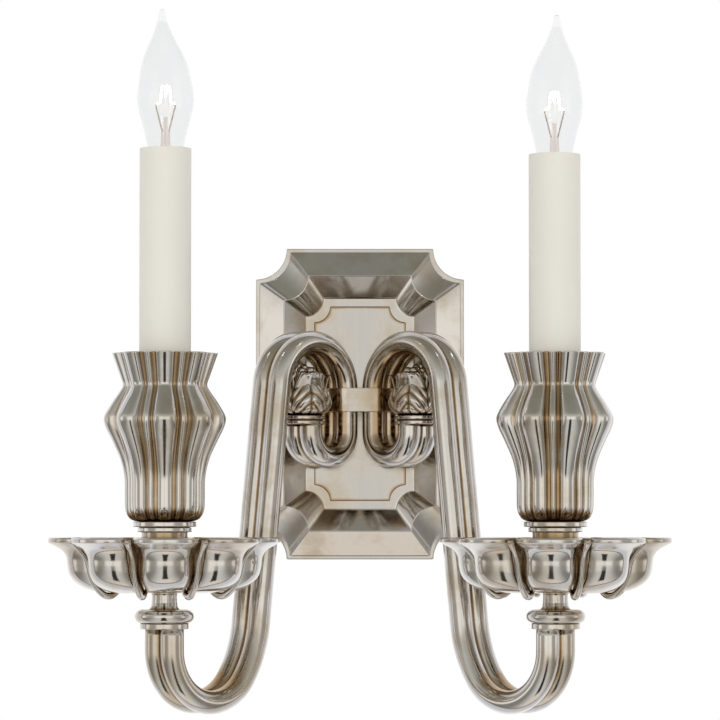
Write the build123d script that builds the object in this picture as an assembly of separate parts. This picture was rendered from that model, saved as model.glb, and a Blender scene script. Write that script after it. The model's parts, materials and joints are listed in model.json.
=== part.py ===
from build123d import *
import math
import os

# Double arm wall sconce, in millimetres. The wall is the plane y = 0 and the sconce stands out
# towards -Y, with +X to the right and +Z up. The origin is on the wall at the middle of the backplate.

os.makedirs("parts", exist_ok=True)

# ---- backplate: a raised frame round a sunk panel, with scooped corners ----
PLATE_WIDTH = 120.65
PLATE_HEIGHT = 180.0
PLATE_WALL = 2.0
CORNER_SCOOP = 17.8          # radius of the scoop taken out of each outer corner
RIM_LAND = 2.2               # flat land round the outside
RIM_WALL = 2.5               # thickness of the upright rim
RIM_DEPTH = 6.0
RIDGE_INSET = 16.5
RIDGE_DEPTH = 20.0
RIDGE_SCOOP = 14.2
BAND_INSET = 29.0            # foot of the frame's inner slope
BAND_SCOOP = 10.4
PANEL_INSET = 34.0
PANEL_DEPTH = 10.0
PANEL_SCOOP = 9.1
STEP_DEPTH = 0.9             # fine step between the strip and the panel

# ---- wall crossbar ----
BAR_WIDTH = 26.0
BAR_THICK = 2.5
BAR_END_GAP = 3.2            # crossbar tab to the inside of the plate's rim
TAB_DEPTH = 5.0
SUPPLY_HOLE_R = 8.0
BOX_SCREW_SPACING = 82.5     # between the middles of the two wall slots
WALL_SLOT_WIDTH = 4.6
WALL_SLOT_LENGTH = 15.0
SIDE_SCREW_R = 1.5
SIDE_SCREW_DEPTH = 3.0       # from the wall to the side screw's axis
SIDE_SCREW_LENGTH = 8.5
SIDE_SLOT_WIDTH = 0.6
SIDE_SLOT_DEPTH = 0.8
SCREW_SLOT_WIDTH = 0.9       # driver slot of the other screws
GROUND_SCREW_R = 2.0
GROUND_SCREW_Z = 24.0
GROUND_HEAD_R = 3.8
GROUND_HEAD = 2.2

# ---- arms: each is a pair of round tubes side by side, bent in one upright plane ----
ARM_ANGLE = 45.0             # arm plane from the wall, in degrees
BACK_LEG_X = 12.4            # middle of the back leg from the centre line
BACK_LEG_Y = 22.0            # middle of the back leg from the wall
TUBE_R = 6.5
TUBE_BORE_R = 4.8
TUBE_SPACING = 12.6          # between the two tubes' axes
SCROLL_R = 14.2              # small bend under the bud
SCROLL_Z = -16.8
ARCH_R = 26.5
ARCH_Z = 7.3
LEG_LEAN = 6.8               # front leg from upright, in degrees
LEG_LENGTH = 136.0
KNEE_R = 66.4                # easy bend at the foot of the front leg
KNEE_TURN = 28.5
CANDLE_X = 107.0             # candle axis from the centre line
ARM_TOP_Z = -126.6

# ---- strap and saddle that hold the two arms to the plate ----
STRAP_Z = 1.5
STRAP_HEIGHT = 13.7
STRAP_THICK = 2.0
SEAT_GAP = 0.05              # between the arms and what clasps them
SADDLE_FRONT = 20.5          # saddle's front face from the wall
SADDLE_SCREW_X = 5.5
SADDLE_SCREW_R = 2.0
SADDLE_SCREW_LENGTH = 9.0
SADDLE_HEAD_R = 3.6
SADDLE_HEAD = 1.8

# ---- bud finial on the arm's inner end ----
RING_ABOVE_SCROLL = 3.9      # ring's foot above the start of the small bend
RING_R = 12.4
RING_HEIGHT = 5.0
RING_GROOVE = 0.9
RING_GROOVE_R = 11.5
SPIGOT_LENGTH = 5.0
SPIGOT_GAP = 0.1
BUD_HEIGHT = 29.9
BUD_STUD_R = 2.5
BUD_STUD_LENGTH = 13.0
BUD_LEAVES = 4
BERRY_R = 3.1
BERRY_CIRCLE = 5.6
BERRY_COUNT = 6

# ---- candle group, from the arm's top upwards ----
COLLAR_PLATE_R = 13.35
COLLAR_PLATE_HEIGHT = 3.1
TORUS_R = 16.2
TORUS_HEIGHT = 7.6
NECK_HEIGHT = 9.3
NECK_TOP_R = 6.8
NECK_FOOT_R = 8.3
DISH_DEPTH = 29.9
DISH_RIM_R = 63.8
DISH_WALL = 2.4
DISH_FLOOR = 3.0
DISH_RIB_HALF = 2.6          # half the width of a rib, in degrees round the dish
LOBES = 8
PEDESTAL_R = 12.7
PEDESTAL_TOP = 3.1           # pedestal above the dish's rim
STEP_LOW_R = 14.9
STEP_LOW_HEIGHT = 2.4
STEP_HIGH_R = 17.4
STEP_HIGH_HEIGHT = 3.3
CUP_HEIGHT = 92.4
CUP_WALL = 1.8
CUP_FLOOR = 3.0
CUP_BORE_R = 17.2            # inside of the cup's straight lower part
CUP_RIB_HALF = 7.5           # half the width of a rib, in degrees round the cup
ROD_R = 4.8                  # threaded rod through the whole group
ROD_BORE_R = 3.5
ROD_GAP = 0.1
ROD_ABOVE_NUT = 10.0
NUT_ACROSS = 14.0
NUT_HEIGHT = 3.5

# ---- socket, sleeve and lamp ----
RISER_R = 6.2
SOCKET_BASE_Z = 78.0
SOCKET_HEIGHT = 41.0
SOCKET_R = 9.2
SOCKET_LIP_R = 10.5
SOCKET_LIP = 4.0
SOCKET_BORE_R = 6.75
SHELL_WALL = 0.45
SHELL_LENGTH = 20.0
SHELL_RECESS = 1.0           # screw shell's top below the socket's top
SOCKET_FLOOR = 1.0           # from the shell's foot down to the floor of the socket's bore
BRACKET_R = 11.4
BRACKET_BASE = 4.0
BRACKET_EAR = 22.0
BRACKET_EAR_THICK = 1.6
BRACKET_EAR_WIDTH = 14.0
SLEEVE_R = 14.2
SLEEVE_WALL = 1.3
SLEEVE_TOP_Z = 137.2
SLEEVE_SEAT_GAP = 0.3
BASE_GAP = 0.3               # lamp's screw cap inside the socket's shell
BASE_WALL = 0.5
BASE_LENGTH = 17.4
CONTACT_R = 2.6
CONTACT_HEIGHT = 3.0
CONTACT_STRIP = 0.8          # thickness of the strip under the centre contact
CONTACT_STRIP_WIDTH = 3.0
PIP_R = 2.2
PIP_NECK_R = 1.6
PIP_HEIGHT = 1.3
INSULATOR_HEIGHT = 1.4
INSULATOR_EDGE = 0.4
CAP_FLOOR = 0.8
CAP_RIM_GAP = 0.4            # cap's rim above the socket's top
GLASS_WALL = 0.8
NECK_R = 5.1                 # glass where it enters the screw cap
GLASS_LENGTH = 94.0
GLASS_SINK = 2.5             # glass's foot below the socket's top
TIP_SHIFT = {"left": 2.1, "right": 1.4}     # each glass's tip bends outwards by about this much
SUPPORT_R = 0.4
FILAMENT_R = 0.5
STEM_HEIGHT = 26.0           # from the glass's foot
STEM_TOP_R = 2.4
POST_R = 1.1
POST_HEIGHT = 8.0
FILAMENT_FOOT = 41.0         # from the glass's foot
FILAMENT_HALF = 5.2
FILAMENT_LEG = 5.0           # straight stretch at each end of the filament
RIGHT_CANDLE_DROP = 3.3      # the right candle stands this much lower

# ---- wiring ----
LEAD_R = 0.9
LEAD_OFFSET = 2.55           # lead from the arm's middle plane, inside the rear tube
LEAD_Z = -12.0
LEAD_DEPTH = 5.5             # lead from the wall, behind the panel
LEAD_TURN_R = 3.5
LEAD_CORNER_R = 2.4
WIRE_HOLE_R = 4.2
BUSH_R = 3.6
BUSH_FLANGE_R = 5.0
BUSH_FLANGE = 1.0
BUSH_BORE_GAP = 0.5
BLOCK_LENGTH = 18.0
BLOCK_HEIGHT = 10.0
BLOCK_THICK = 5.0
BLOCK_ENTRY = 3.5
BLOCK_SEAT_GAP = 0.2         # lead's end from the bottom of its entry

# ---- sizes worked out from those above ----
DISH_FOOT_Z = ARM_TOP_Z + COLLAR_PLATE_HEIGHT + TORUS_HEIGHT + NECK_HEIGHT
DISH_RIM_Z = DISH_FOOT_Z + DISH_DEPTH
STEPS_Z = DISH_RIM_Z + PEDESTAL_TOP
CUP_FOOT_Z = STEPS_Z + STEP_LOW_HEIGHT + STEP_HIGH_HEIGHT
CUP_INSIDE_Z = CUP_FOOT_Z + CUP_FLOOR
NUT_TOP_Z = CUP_INSIDE_Z + NUT_HEIGHT
ROD_TOP_Z = NUT_TOP_Z + ROD_ABOVE_NUT
RING_Z = SCROLL_Z + RING_ABOVE_SCROLL
BUD_Z = RING_Z + RING_HEIGHT
PANEL_BACK = PANEL_DEPTH - PLATE_WALL
COS_ARM = math.cos(math.radians(ARM_ANGLE))
SIN_ARM = math.sin(math.radians(ARM_ANGLE))
CAP_R = SOCKET_BORE_R - SHELL_WALL - BASE_GAP
CANDLE_REACH = (CANDLE_X - BACK_LEG_X) / COS_ARM
CANDLE_Y = -BACK_LEG_Y - CANDLE_REACH * SIN_ARM
SIDES = {"left": -1, "right": 1}


def cylinder(radius, low, high, x=0.0, y=0.0):
    """Upright round bar from one height to another."""
    return Pos(x, y, (low + high) / 2) * Cylinder(radius, high - low)


def tube(outer, inner, low, high, x=0.0, y=0.0):
    return cylinder(outer, low, high, x, y) - cylinder(inner, low - 1, high + 1, x, y)


def bar_along_y(radius, near, far, x, z):
    """Round bar square to the wall, between two distances from it."""
    return Pos(x, -(near + far) / 2, z) * Rot(90, 0, 0) * Cylinder(radius, far - near)


def block(width, depth, height, x, y, z):
    return Pos(x, y, z) * Box(width, depth, height)


def turned(points, x=0.0, y=0.0):
    """Solid of revolution about an upright axis, from (radius, height) corners."""
    face = make_face(Polyline(*[(r, 0, z) for r, z in points], close=True))
    return Pos(x, y, 0) * revolve(face, Axis.Z)


def save(node, shape):
    shape.label = node
    export_step(shape, os.path.join("parts", node + ".step"))


# ---------------------------------------------------------------- backplate
def plate_outline(inset, scoop, depth):
    """Rectangle whose corners are scooped out on circles centred on the corners."""
    half_w = PLATE_WIDTH / 2 - inset
    half_h = PLATE_HEIGHT / 2 - inset
    slant = scoop * math.sqrt(0.5)
    edges = []
    for sx, sz in ((1, 1), (-1, 1), (-1, -1), (1, -1)):
        along = (sx * (half_w - scoop), sz * half_h)
        up = (sx * half_w, sz * (half_h - scoop))
        middle = (sx * (half_w - slant), sz * (half_h - slant))
        ends = (up, along) if sx * sz > 0 else (along, up)
        edges.append((ends[0], middle, ends[1]))
    curves = []
    for index, (start, middle, end) in enumerate(edges):
        following = edges[(index + 1) % 4][0]
        curves.append(ThreePointArc(*[(x, -depth, z) for x, z in (start, middle, end)]))
        curves.append(Line((end[0], -depth, end[1]), (following[0], -depth, following[1])))
    return make_face(curves)


def stepped_body(levels):
    """Straight-sided loft through plate outlines, one band at a time, joined into one solid."""
    body = None
    for low, high in zip(levels[:-1], levels[1:]):
        band = loft([plate_outline(*low), plate_outline(*high)], ruled=True)
        body = band if body is None else body + band
    return body


def backplate():
    rim = stepped_body([(0.0, CORNER_SCOOP, 0.0), (0.0, CORNER_SCOOP, RIM_DEPTH)])
    slope = stepped_body([(RIM_LAND, CORNER_SCOOP, RIM_DEPTH), (RIDGE_INSET, RIDGE_SCOOP, RIDGE_DEPTH)])
    sunk = stepped_body([(BAND_INSET, BAND_SCOOP, PANEL_DEPTH + STEP_DEPTH),
                         (RIDGE_INSET, RIDGE_SCOOP, RIDGE_DEPTH)])
    step = stepped_body([(PANEL_INSET, PANEL_SCOOP, PANEL_DEPTH),
                         (PANEL_INSET, PANEL_SCOOP, PANEL_DEPTH + STEP_DEPTH)])
    solid = rim + slope - sunk - step
    # the hollow at the back follows the front at one wall's thickness
    wall = PLATE_WALL
    lean = wall * 0.45
    inside_rim = stepped_body([(RIM_WALL, CORNER_SCOOP, 0.0), (RIM_WALL, CORNER_SCOOP, RIM_DEPTH - wall)])
    inside_slope = stepped_body([(RIM_LAND + wall, CORNER_SCOOP, RIM_DEPTH - wall * 0.9),
                                 (RIDGE_INSET + lean / 2, RIDGE_SCOOP, RIDGE_DEPTH - wall * 1.4)])
    lip = stepped_body([(RIM_WALL, CORNER_SCOOP, RIM_DEPTH - wall),
                        (RIM_LAND + wall, CORNER_SCOOP, RIM_DEPTH - wall * 0.9)])
    core = stepped_body([(BAND_INSET - wall * 1.3, BAND_SCOOP, PANEL_BACK),
                         (RIDGE_INSET + lean / 2, RIDGE_SCOOP, RIDGE_DEPTH - wall * 1.4)])
    solid = solid - (inside_rim + lip + inside_slope - core)
    for side in SIDES.values():
        lead_x = lead_point(side)[0]
        solid -= bar_along_y(BUSH_R + ROD_GAP, PANEL_BACK - 1, PANEL_DEPTH + 1, lead_x, LEAD_Z)
        solid -= bar_along_y(SADDLE_SCREW_R + ROD_GAP, PANEL_BACK - 1, PANEL_DEPTH + 1,
                             side * SADDLE_SCREW_X, STRAP_Z)
        end = side * PLATE_HEIGHT / 2
        hole = Pos(0, -SIDE_SCREW_DEPTH, end) * Cylinder(SIDE_SCREW_R + ROD_GAP, 4 * RIM_LAND)
        solid -= hole
    return solid


# ---------------------------------------------------------------- wall crossbar
def crossbar():
    half = PLATE_HEIGHT / 2 - RIM_WALL - BAR_END_GAP
    bar = block(BAR_WIDTH, BAR_THICK, 2 * half, 0, -BAR_THICK / 2, 0)
    bar -= bar_along_y(SUPPLY_HOLE_R, -1, BAR_THICK + 1, 0, 0)
    bar -= bar_along_y(GROUND_SCREW_R + ROD_GAP, -1, BAR_THICK + 1, 0, GROUND_SCREW_Z)
    for end in (-1, 1):
        bar += block(BAR_WIDTH, TAB_DEPTH, BAR_THICK, 0, -TAB_DEPTH / 2, end * (half - BAR_THICK / 2))
        slot_z = end * BOX_SCREW_SPACING / 2
        straight = WALL_SLOT_LENGTH - WALL_SLOT_WIDTH
        bar -= block(WALL_SLOT_WIDTH, 3 * BAR_THICK, straight, 0, 0, slot_z)
        for tip in (-1, 1):
            bar -= bar_along_y(WALL_SLOT_WIDTH / 2, -BAR_THICK, 2 * BAR_THICK, 0, slot_z + tip * straight / 2)
        bar -= Pos(0, -SIDE_SCREW_DEPTH, end * half) * Cylinder(SIDE_SCREW_R, 4 * BAR_THICK)
    return bar


def side_screws():
    """Slotted grub screws through the rim, top and bottom, into the crossbar's tabs."""
    screws = []
    for end in (-1, 1):
        middle = end * (PLATE_HEIGHT / 2 - SIDE_SCREW_LENGTH / 2)
        screw = Pos(0, -SIDE_SCREW_DEPTH, middle) * Cylinder(SIDE_SCREW_R, SIDE_SCREW_LENGTH)
        screw -= block(SIDE_SLOT_WIDTH, 4 * SIDE_SCREW_R, 2 * SIDE_SLOT_DEPTH, 0, -SIDE_SCREW_DEPTH,
                       end * PLATE_HEIGHT / 2)
        screws.append(screw)
    return Compound(children=screws)


def ground_screw():
    shank = bar_along_y(GROUND_SCREW_R, 0.2, BAR_THICK, 0, GROUND_SCREW_Z)
    head = bar_along_y(GROUND_HEAD_R, BAR_THICK, BAR_THICK + GROUND_HEAD, 0, GROUND_SCREW_Z)
    slot = block(4 * GROUND_HEAD_R, GROUND_HEAD, SCREW_SLOT_WIDTH, 0, -(BAR_THICK + GROUND_HEAD),
                 GROUND_SCREW_Z)
    return shank + head - slot


# ---------------------------------------------------------------- arm route
def reach_direction(side):
    return Vector(side * COS_ARM, -SIN_ARM, 0)


def arm_plane(side, offset=0.0):
    """Upright plane of one arm: local x runs outwards, local y runs up, origin at the back leg.

    A positive offset moves the plane towards the wall, to the rear tube."""
    away = Vector(side * SIN_ARM, COS_ARM, 0)
    origin = Vector(side * BACK_LEG_X, -BACK_LEG_Y, 0) + away * offset
    normal = away if side < 0 else away * -1
    return Plane(origin=origin, x_dir=reach_direction(side), z_dir=normal)


def bend(start, heading, radius, turn):
    """Arc from a point and heading; a positive turn bends to the left. Returns arc, end, heading."""
    left = 1 if turn > 0 else -1
    centre_angle = math.radians(heading + 90 * left)
    centre = (start[0] + radius * math.cos(centre_angle), start[1] + radius * math.sin(centre_angle))
    points = []
    for part in (0.0, 0.5, 1.0):
        angle = centre_angle + math.pi + math.radians(turn * part)
        points.append((centre[0] + radius * math.cos(angle), centre[1] + radius * math.sin(angle)))
    return ThreePointArc(*points), points[2], heading + turn


def front_route(top):
    """Arch, front leg and lower bend in the arm's plane, from the back leg up to a given height."""
    arch, arch_end, heading = bend((0.0, ARCH_Z), 90.0, ARCH_R, -(180.0 - LEG_LEAN))
    lean = math.radians(heading)
    leg_end = (arch_end[0] + LEG_LENGTH * math.cos(lean), arch_end[1] + LEG_LENGTH * math.sin(lean))
    knee, knee_end, heading = bend(leg_end, heading, KNEE_R, KNEE_TURN)
    hook_r = (CANDLE_REACH - knee_end[0]) / (1 - math.sin(math.radians(heading)))
    hook, hook_end, heading = bend(knee_end, heading, hook_r, 90.0 - heading)
    rise = Line(hook_end, (CANDLE_REACH, top))
    return [arch, Line(arch_end, leg_end), knee, hook, rise]


def arm_route():
    start = (2 * SCROLL_R, RING_Z)
    low = (2 * SCROLL_R, SCROLL_Z)
    scroll, scroll_end, _ = bend(low, -90.0, SCROLL_R, -180.0)
    return [Line(start, low), scroll, Line(scroll_end, (0.0, ARCH_Z))] + front_route(ARM_TOP_Z)


def lead_point(side):
    """Where the lead leaves the arm towards the panel, seen from above."""
    return (side * (BACK_LEG_X + LEAD_OFFSET * SIN_ARM), -BACK_LEG_Y + LEAD_OFFSET * COS_ARM)


def arm(side):
    plane = arm_plane(side)
    path = Wire([plane.from_local_coords(edge) for edge in arm_route()])
    start = path @ 0
    across = plane.z_dir
    section_plane = Plane(origin=start, x_dir=across, z_dir=Vector(0, 0, -1))
    half = TUBE_SPACING / 2
    outline = Pos(half, 0) * Circle(TUBE_R) + Pos(-half, 0) * Circle(TUBE_R)
    bores = Pos(half, 0) * Circle(TUBE_BORE_R) + Pos(-half, 0) * Circle(TUBE_BORE_R)
    body = sweep(section_plane * outline, path=path)
    for bore in bores.faces():
        body -= sweep(section_plane * bore, path=path)
    rear_x = side * (BACK_LEG_X + half * SIN_ARM)
    rear_y = BACK_LEG_Y - half * COS_ARM
    body -= bar_along_y(WIRE_HOLE_R, rear_y - TUBE_R - 1, rear_y, rear_x, LEAD_Z)
    return body


# ---------------------------------------------------------------- strap and saddle
def clasp_outline(margin):
    """Outline round the four upright tubes at the back legs, closed on the panel."""
    half = TUBE_SPACING / 2
    radius = TUBE_R + margin
    front = (BACK_LEG_X - half * SIN_ARM, -BACK_LEG_Y - half * COS_ARM)
    rear = (BACK_LEG_X + half * SIN_ARM, -BACK_LEG_Y + half * COS_ARM)
    slope = math.radians(-45.0)
    right = [
        (0.0, front[1] - radius),
        (front[0], front[1] - radius),
        (front[0] + radius * math.sin(-slope / 2), front[1] - radius * math.cos(slope / 2)),
        (front[0] + radius * math.cos(slope), front[1] + radius * math.sin(slope)),
        (rear[0] + radius * math.cos(slope), rear[1] + radius * math.sin(slope)),
        (rear[0] + radius * math.cos(slope / 2), rear[1] + radius * math.sin(slope / 2)),
        (rear[0] + radius, rear[1]),
        (rear[0] + radius, -PANEL_DEPTH),
    ]
    left = [(-x, y) for x, y in right]
    curves = []
    for pts in (right, left):
        curves.append(Line(pts[0], pts[1]))
        curves.append(ThreePointArc(pts[1], pts[2], pts[3]))
        curves.append(Line(pts[3], pts[4]))
        curves.append(ThreePointArc(pts[4], pts[5], pts[6]))
        curves.append(Line(pts[6], pts[7]))
    curves.append(Line(right[7], left[7]))
    return make_face(curves)


def upright_slab(face):
    low = STRAP_Z - STRAP_HEIGHT / 2
    return extrude(Pos(0, 0, low) * face, STRAP_HEIGHT, dir=(0, 0, 1))


def strap():
    return upright_slab(clasp_outline(SEAT_GAP + STRAP_THICK)) - upright_slab(clasp_outline(SEAT_GAP))


def saddle():
    """Block behind the back legs, hollowed to fit them and screwed on from behind the panel."""
    body = upright_slab(clasp_outline(SEAT_GAP))
    depth = SADDLE_FRONT - PANEL_DEPTH
    keep = block(PLATE_WIDTH, depth, 2 * STRAP_HEIGHT, 0, -(PANEL_DEPTH + depth / 2), STRAP_Z)
    body = body & keep
    half = TUBE_SPACING / 2
    for side in SIDES.values():
        for shift in (-half, half):
            x = side * (BACK_LEG_X + shift * SIN_ARM)
            y = -BACK_LEG_Y + shift * COS_ARM
            body -= cylinder(TUBE_R + SEAT_GAP, STRAP_Z - STRAP_HEIGHT, STRAP_Z + STRAP_HEIGHT, x, y)
        reach = PANEL_BACK + SADDLE_SCREW_LENGTH
        body -= bar_along_y(SADDLE_SCREW_R, PANEL_BACK, reach, side * SADDLE_SCREW_X, STRAP_Z)
    return body


def saddle_screws():
    screws = []
    for side in SIDES.values():
        x = side * SADDLE_SCREW_X
        shank = bar_along_y(SADDLE_SCREW_R, PANEL_BACK, PANEL_BACK + SADDLE_SCREW_LENGTH, x, STRAP_Z)
        head = bar_along_y(SADDLE_HEAD_R, PANEL_BACK - SADDLE_HEAD, PANEL_BACK, x, STRAP_Z)
        slot = block(SCREW_SLOT_WIDTH, SADDLE_HEAD, 4 * SADDLE_HEAD_R, x, -(PANEL_BACK - SADDLE_HEAD),
                     STRAP_Z)
        screws.append(shank + head - slot)
    return Compound(children=screws)


# ---------------------------------------------------------------- bud finial
def bud_axis(side):
    point = arm_plane(side).from_local_coords((2 * SCROLL_R, 0, 0))
    return point.X, point.Y


def bud_ring(side):
    """Grooved ring with two spigots that plug the tubes of the arm."""
    x, y = bud_axis(side)
    ring = cylinder(RING_R, RING_Z, BUD_Z, x, y)
    groove_z = RING_Z + RING_HEIGHT / 2
    ring -= tube(RING_R + 1, RING_GROOVE_R, groove_z - RING_GROOVE / 2, groove_z + RING_GROOVE / 2, x, y)
    for shift in (-TUBE_SPACING / 2, TUBE_SPACING / 2):
        px = x + side * shift * SIN_ARM
        py = y + shift * COS_ARM
        ring += cylinder(TUBE_BORE_R - SPIGOT_GAP, RING_Z - SPIGOT_LENGTH, RING_Z, px, py)
    return ring - cylinder(BUD_STUD_R, RING_Z, BUD_Z, x, y)


def bud_studs():
    studs = []
    for side in SIDES.values():
        x, y = bud_axis(side)
        studs.append(cylinder(BUD_STUD_R, RING_Z, RING_Z + BUD_STUD_LENGTH, x, y))
    return Compound(children=studs)


def lobed_face(z, lobe_r, groove_r, rib_r, lobe_half, rib_half, count, turn=0.0):
    """Closed outline of broad lobes with a narrow rib in each valley between them."""
    def at(radius, degrees):
        angle = math.radians(degrees + turn)
        return (radius * math.cos(angle), radius * math.sin(angle), z)

    pitch = 360.0 / count
    curves = []
    for index in range(count):
        middle = index * pitch
        valley = middle + pitch / 2
        if rib_half > 0:
            lobe_end = valley - rib_half
            curves.append(ThreePointArc(at(groove_r, middle - lobe_half), at(lobe_r, middle),
                                        at(groove_r, lobe_end)))
            curves.append(ThreePointArc(at(groove_r, lobe_end), at(rib_r, valley),
                                        at(groove_r, valley + rib_half)))
        else:
            curves.append(ThreePointArc(at(groove_r, middle - pitch / 2), at(lobe_r, middle),
                                        at(groove_r, valley)))
    return make_face(curves)


def bud(side):
    """Leafy bud: four leaves whose tips turn outwards, round a cluster of berries."""
    x, y = bud_axis(side)
    # (share of the height, radius over a leaf, radius between leaves)
    shape = [(0.0, 10.6, 10.2), (0.10, 15.6, 14.6), (0.25, 17.6, 16.4), (0.42, 16.4, 15.0),
             (0.60, 13.6, 11.6), (0.72, 14.6, 9.4), (0.80, 16.8, 8.2)]
    faces = []
    for share, leaf_r, seam_r in shape:
        height = BUD_Z + share * BUD_HEIGHT
        faces.append(lobed_face(height, leaf_r, seam_r, seam_r, 45.0, 0.0, BUD_LEAVES, 45.0))
    body = loft(faces)
    top = BUD_Z + shape[-1][0] * BUD_HEIGHT
    berry_z = BUD_Z + BUD_HEIGHT - BERRY_R
    for index in range(BERRY_COUNT):
        angle = math.radians(360.0 / BERRY_COUNT * index)
        spot = Pos(BERRY_CIRCLE * math.cos(angle), BERRY_CIRCLE * math.sin(angle), berry_z - 1.2)
        body += spot * Sphere(BERRY_R)
    body += Pos(0, 0, berry_z) * Sphere(BERRY_R)
    body += cylinder(BERRY_CIRCLE, top - 2, berry_z - 1.2)
    body -= cylinder(BUD_STUD_R, BUD_Z - 1, RING_Z + BUD_STUD_LENGTH)
    return Pos(x, y, 0) * body


# ---------------------------------------------------------------- turned pieces under the candle
def collar_plate(x):
    return tube(COLLAR_PLATE_R, ROD_R + ROD_GAP, ARM_TOP_Z, ARM_TOP_Z + COLLAR_PLATE_HEIGHT, x, CANDLE_Y)


def torus_collar(x):
    low = ARM_TOP_Z + COLLAR_PLATE_HEIGHT
    high = low + TORUS_HEIGHT
    body = cylinder(TORUS_R, low, high)
    body = fillet(body.edges().filter_by(GeomType.CIRCLE), TORUS_HEIGHT / 2 - 0.05)
    return Pos(x, CANDLE_Y, 0) * (body - cylinder(ROD_R + ROD_GAP, low - 1, high + 1))


def dish_neck(x):
    """Short stem under the dish, flaring down on to the round collar."""
    low = DISH_FOOT_Z - NECK_HEIGHT
    curve = ThreePointArc((NECK_FOOT_R, 0, low), (NECK_TOP_R + 0.3, 0, low + NECK_HEIGHT * 0.45),
                          (NECK_TOP_R, 0, DISH_FOOT_Z))
    inner = ROD_R + ROD_GAP
    rest = Polyline((NECK_TOP_R, 0, DISH_FOOT_Z), (inner, 0, DISH_FOOT_Z), (inner, 0, low),
                    (NECK_FOOT_R, 0, low))
    return Pos(x, CANDLE_Y, 0) * revolve(make_face([curve, rest]), Axis.Z)


def dish(x):
    """Fluted drip dish: eight deep lobes with a slim round rib in each valley, open at the top."""
    # (height above the foot, radius over a lobe, radius in the groove, radius over a rib)
    shape = [(0.0, 37.0, 32.6, 34.4), (1.6, 42.6, 37.4, 39.4), (5.2, 48.8, 42.6, 44.8),
             (10.0, 52.0, 45.4, 47.6), (14.6, 52.9, 46.2, 48.4), (19.4, 53.4, 46.8, 49.0),
             (23.4, 57.0, 50.4, 52.4), (26.6, 63.4, 55.2, 57.0), (28.4, 64.2, 56.0, 57.6),
             (29.9, 63.6, 55.6, 57.2)]
    scale = DISH_RIM_R / max(row[1] for row in shape)
    stretch = DISH_DEPTH / shape[-1][0]
    outer = []
    inner = []
    lobe_half = 180.0 / LOBES - DISH_RIB_HALF
    for height, lobe_r, groove_r, rib_r in shape:
        z = DISH_FOOT_Z + height * stretch
        outer.append(lobed_face(z, lobe_r * scale, groove_r * scale, rib_r * scale,
                                lobe_half, DISH_RIB_HALF, LOBES))
    for height, lobe_r, groove_r, rib_r in shape[2:]:
        z = DISH_FOOT_Z + height * stretch
        inner.append(lobed_face(z, lobe_r * scale - DISH_WALL, groove_r * scale - DISH_WALL,
                                rib_r * scale - DISH_WALL, lobe_half, DISH_RIB_HALF, LOBES))
    body = loft(outer)
    hollow = loft(inner)
    floor_z = DISH_FOOT_Z + DISH_FLOOR
    first = DISH_FOOT_Z + shape[2][0] * stretch
    well_r = shape[0][1] * scale
    throat_r = shape[2][2] * scale - DISH_WALL - 0.3
    hollow_low = turned([(0, floor_z), (well_r, floor_z), (throat_r, first + 0.2), (0, first + 0.2)])
    body = body - hollow - hollow_low
    body -= cylinder(ROD_R + ROD_GAP, DISH_FOOT_Z - 1, floor_z + 1)
    return Pos(x, CANDLE_Y, 0) * body


def pedestal(x):
    return tube(PEDESTAL_R, ROD_R + ROD_GAP, DISH_FOOT_Z + DISH_FLOOR, STEPS_Z, x, CANDLE_Y)


def cup_steps(x):
    low_top = STEPS_Z + STEP_LOW_HEIGHT
    body = tube(STEP_LOW_R, ROD_R + ROD_GAP, STEPS_Z, low_top, x, CANDLE_Y)
    body += tube(PEDESTAL_R + 1.3, ROD_R + ROD_GAP, low_top - 0.1, CUP_FOOT_Z, x, CANDLE_Y)
    body += tube(STEP_HIGH_R, ROD_R + ROD_GAP, low_top + 0.4, CUP_FOOT_Z, x, CANDLE_Y)
    return body


def cup(x):
    """Fluted candle cup with a nipped waist, hollow and open at the top."""
    # (height above the foot, radius over a lobe, radius in the groove, radius over a rib)
    lower = [(0.0, 16.2, 15.0, 15.8), (2.4, 19.8, 18.2, 19.2), (6.6, 21.7, 19.9, 20.9),
             (14.0, 22.0, 20.2, 21.2), (24.0, 22.2, 20.2, 21.3), (34.0, 24.4, 21.8, 23.2),
             (45.0, 29.2, 26.0, 27.4), (54.0, 33.2, 29.6, 31.2), (58.0, 33.4, 29.8, 31.4),
             (66.0, 28.6, 25.4, 27.0), (72.0, 24.6, 21.9, 23.3), (75.0, 23.0, 20.5, 21.8)]
    upper = [(75.0, 23.0, 20.5, 21.8), (92.4, 29.2, 26.4, 27.7)]
    stretch = CUP_HEIGHT / upper[-1][0]

    def faces(rows):
        made = []
        for height, lobe_r, groove_r, rib_r in rows:
            z = CUP_FOOT_Z + height * stretch
            made.append(lobed_face(z, lobe_r, groove_r, rib_r, 180.0 / LOBES - CUP_RIB_HALF,
                                   CUP_RIB_HALF, LOBES))
        return made

    body = loft(faces(lower)) + loft(faces(upper), ruled=True)
    inside = [(0, CUP_INSIDE_Z), (CUP_BORE_R - 1.2, CUP_INSIDE_Z), (CUP_BORE_R, CUP_INSIDE_Z + 2)]
    for height, _, groove_r, _ in lower[4:] + upper[1:]:
        inside.append((groove_r - CUP_WALL, CUP_FOOT_Z + height * stretch))
    top = CUP_FOOT_Z + CUP_HEIGHT
    inside[-1] = (inside[-1][0] + 0.4, top + 1)
    inside.append((0, top + 1))
    body = body - turned(inside)
    body -= cylinder(ROD_R + ROD_GAP, CUP_FOOT_Z - 1, CUP_INSIDE_Z + 1)
    return Pos(x, CANDLE_Y, 0) * body


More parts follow.
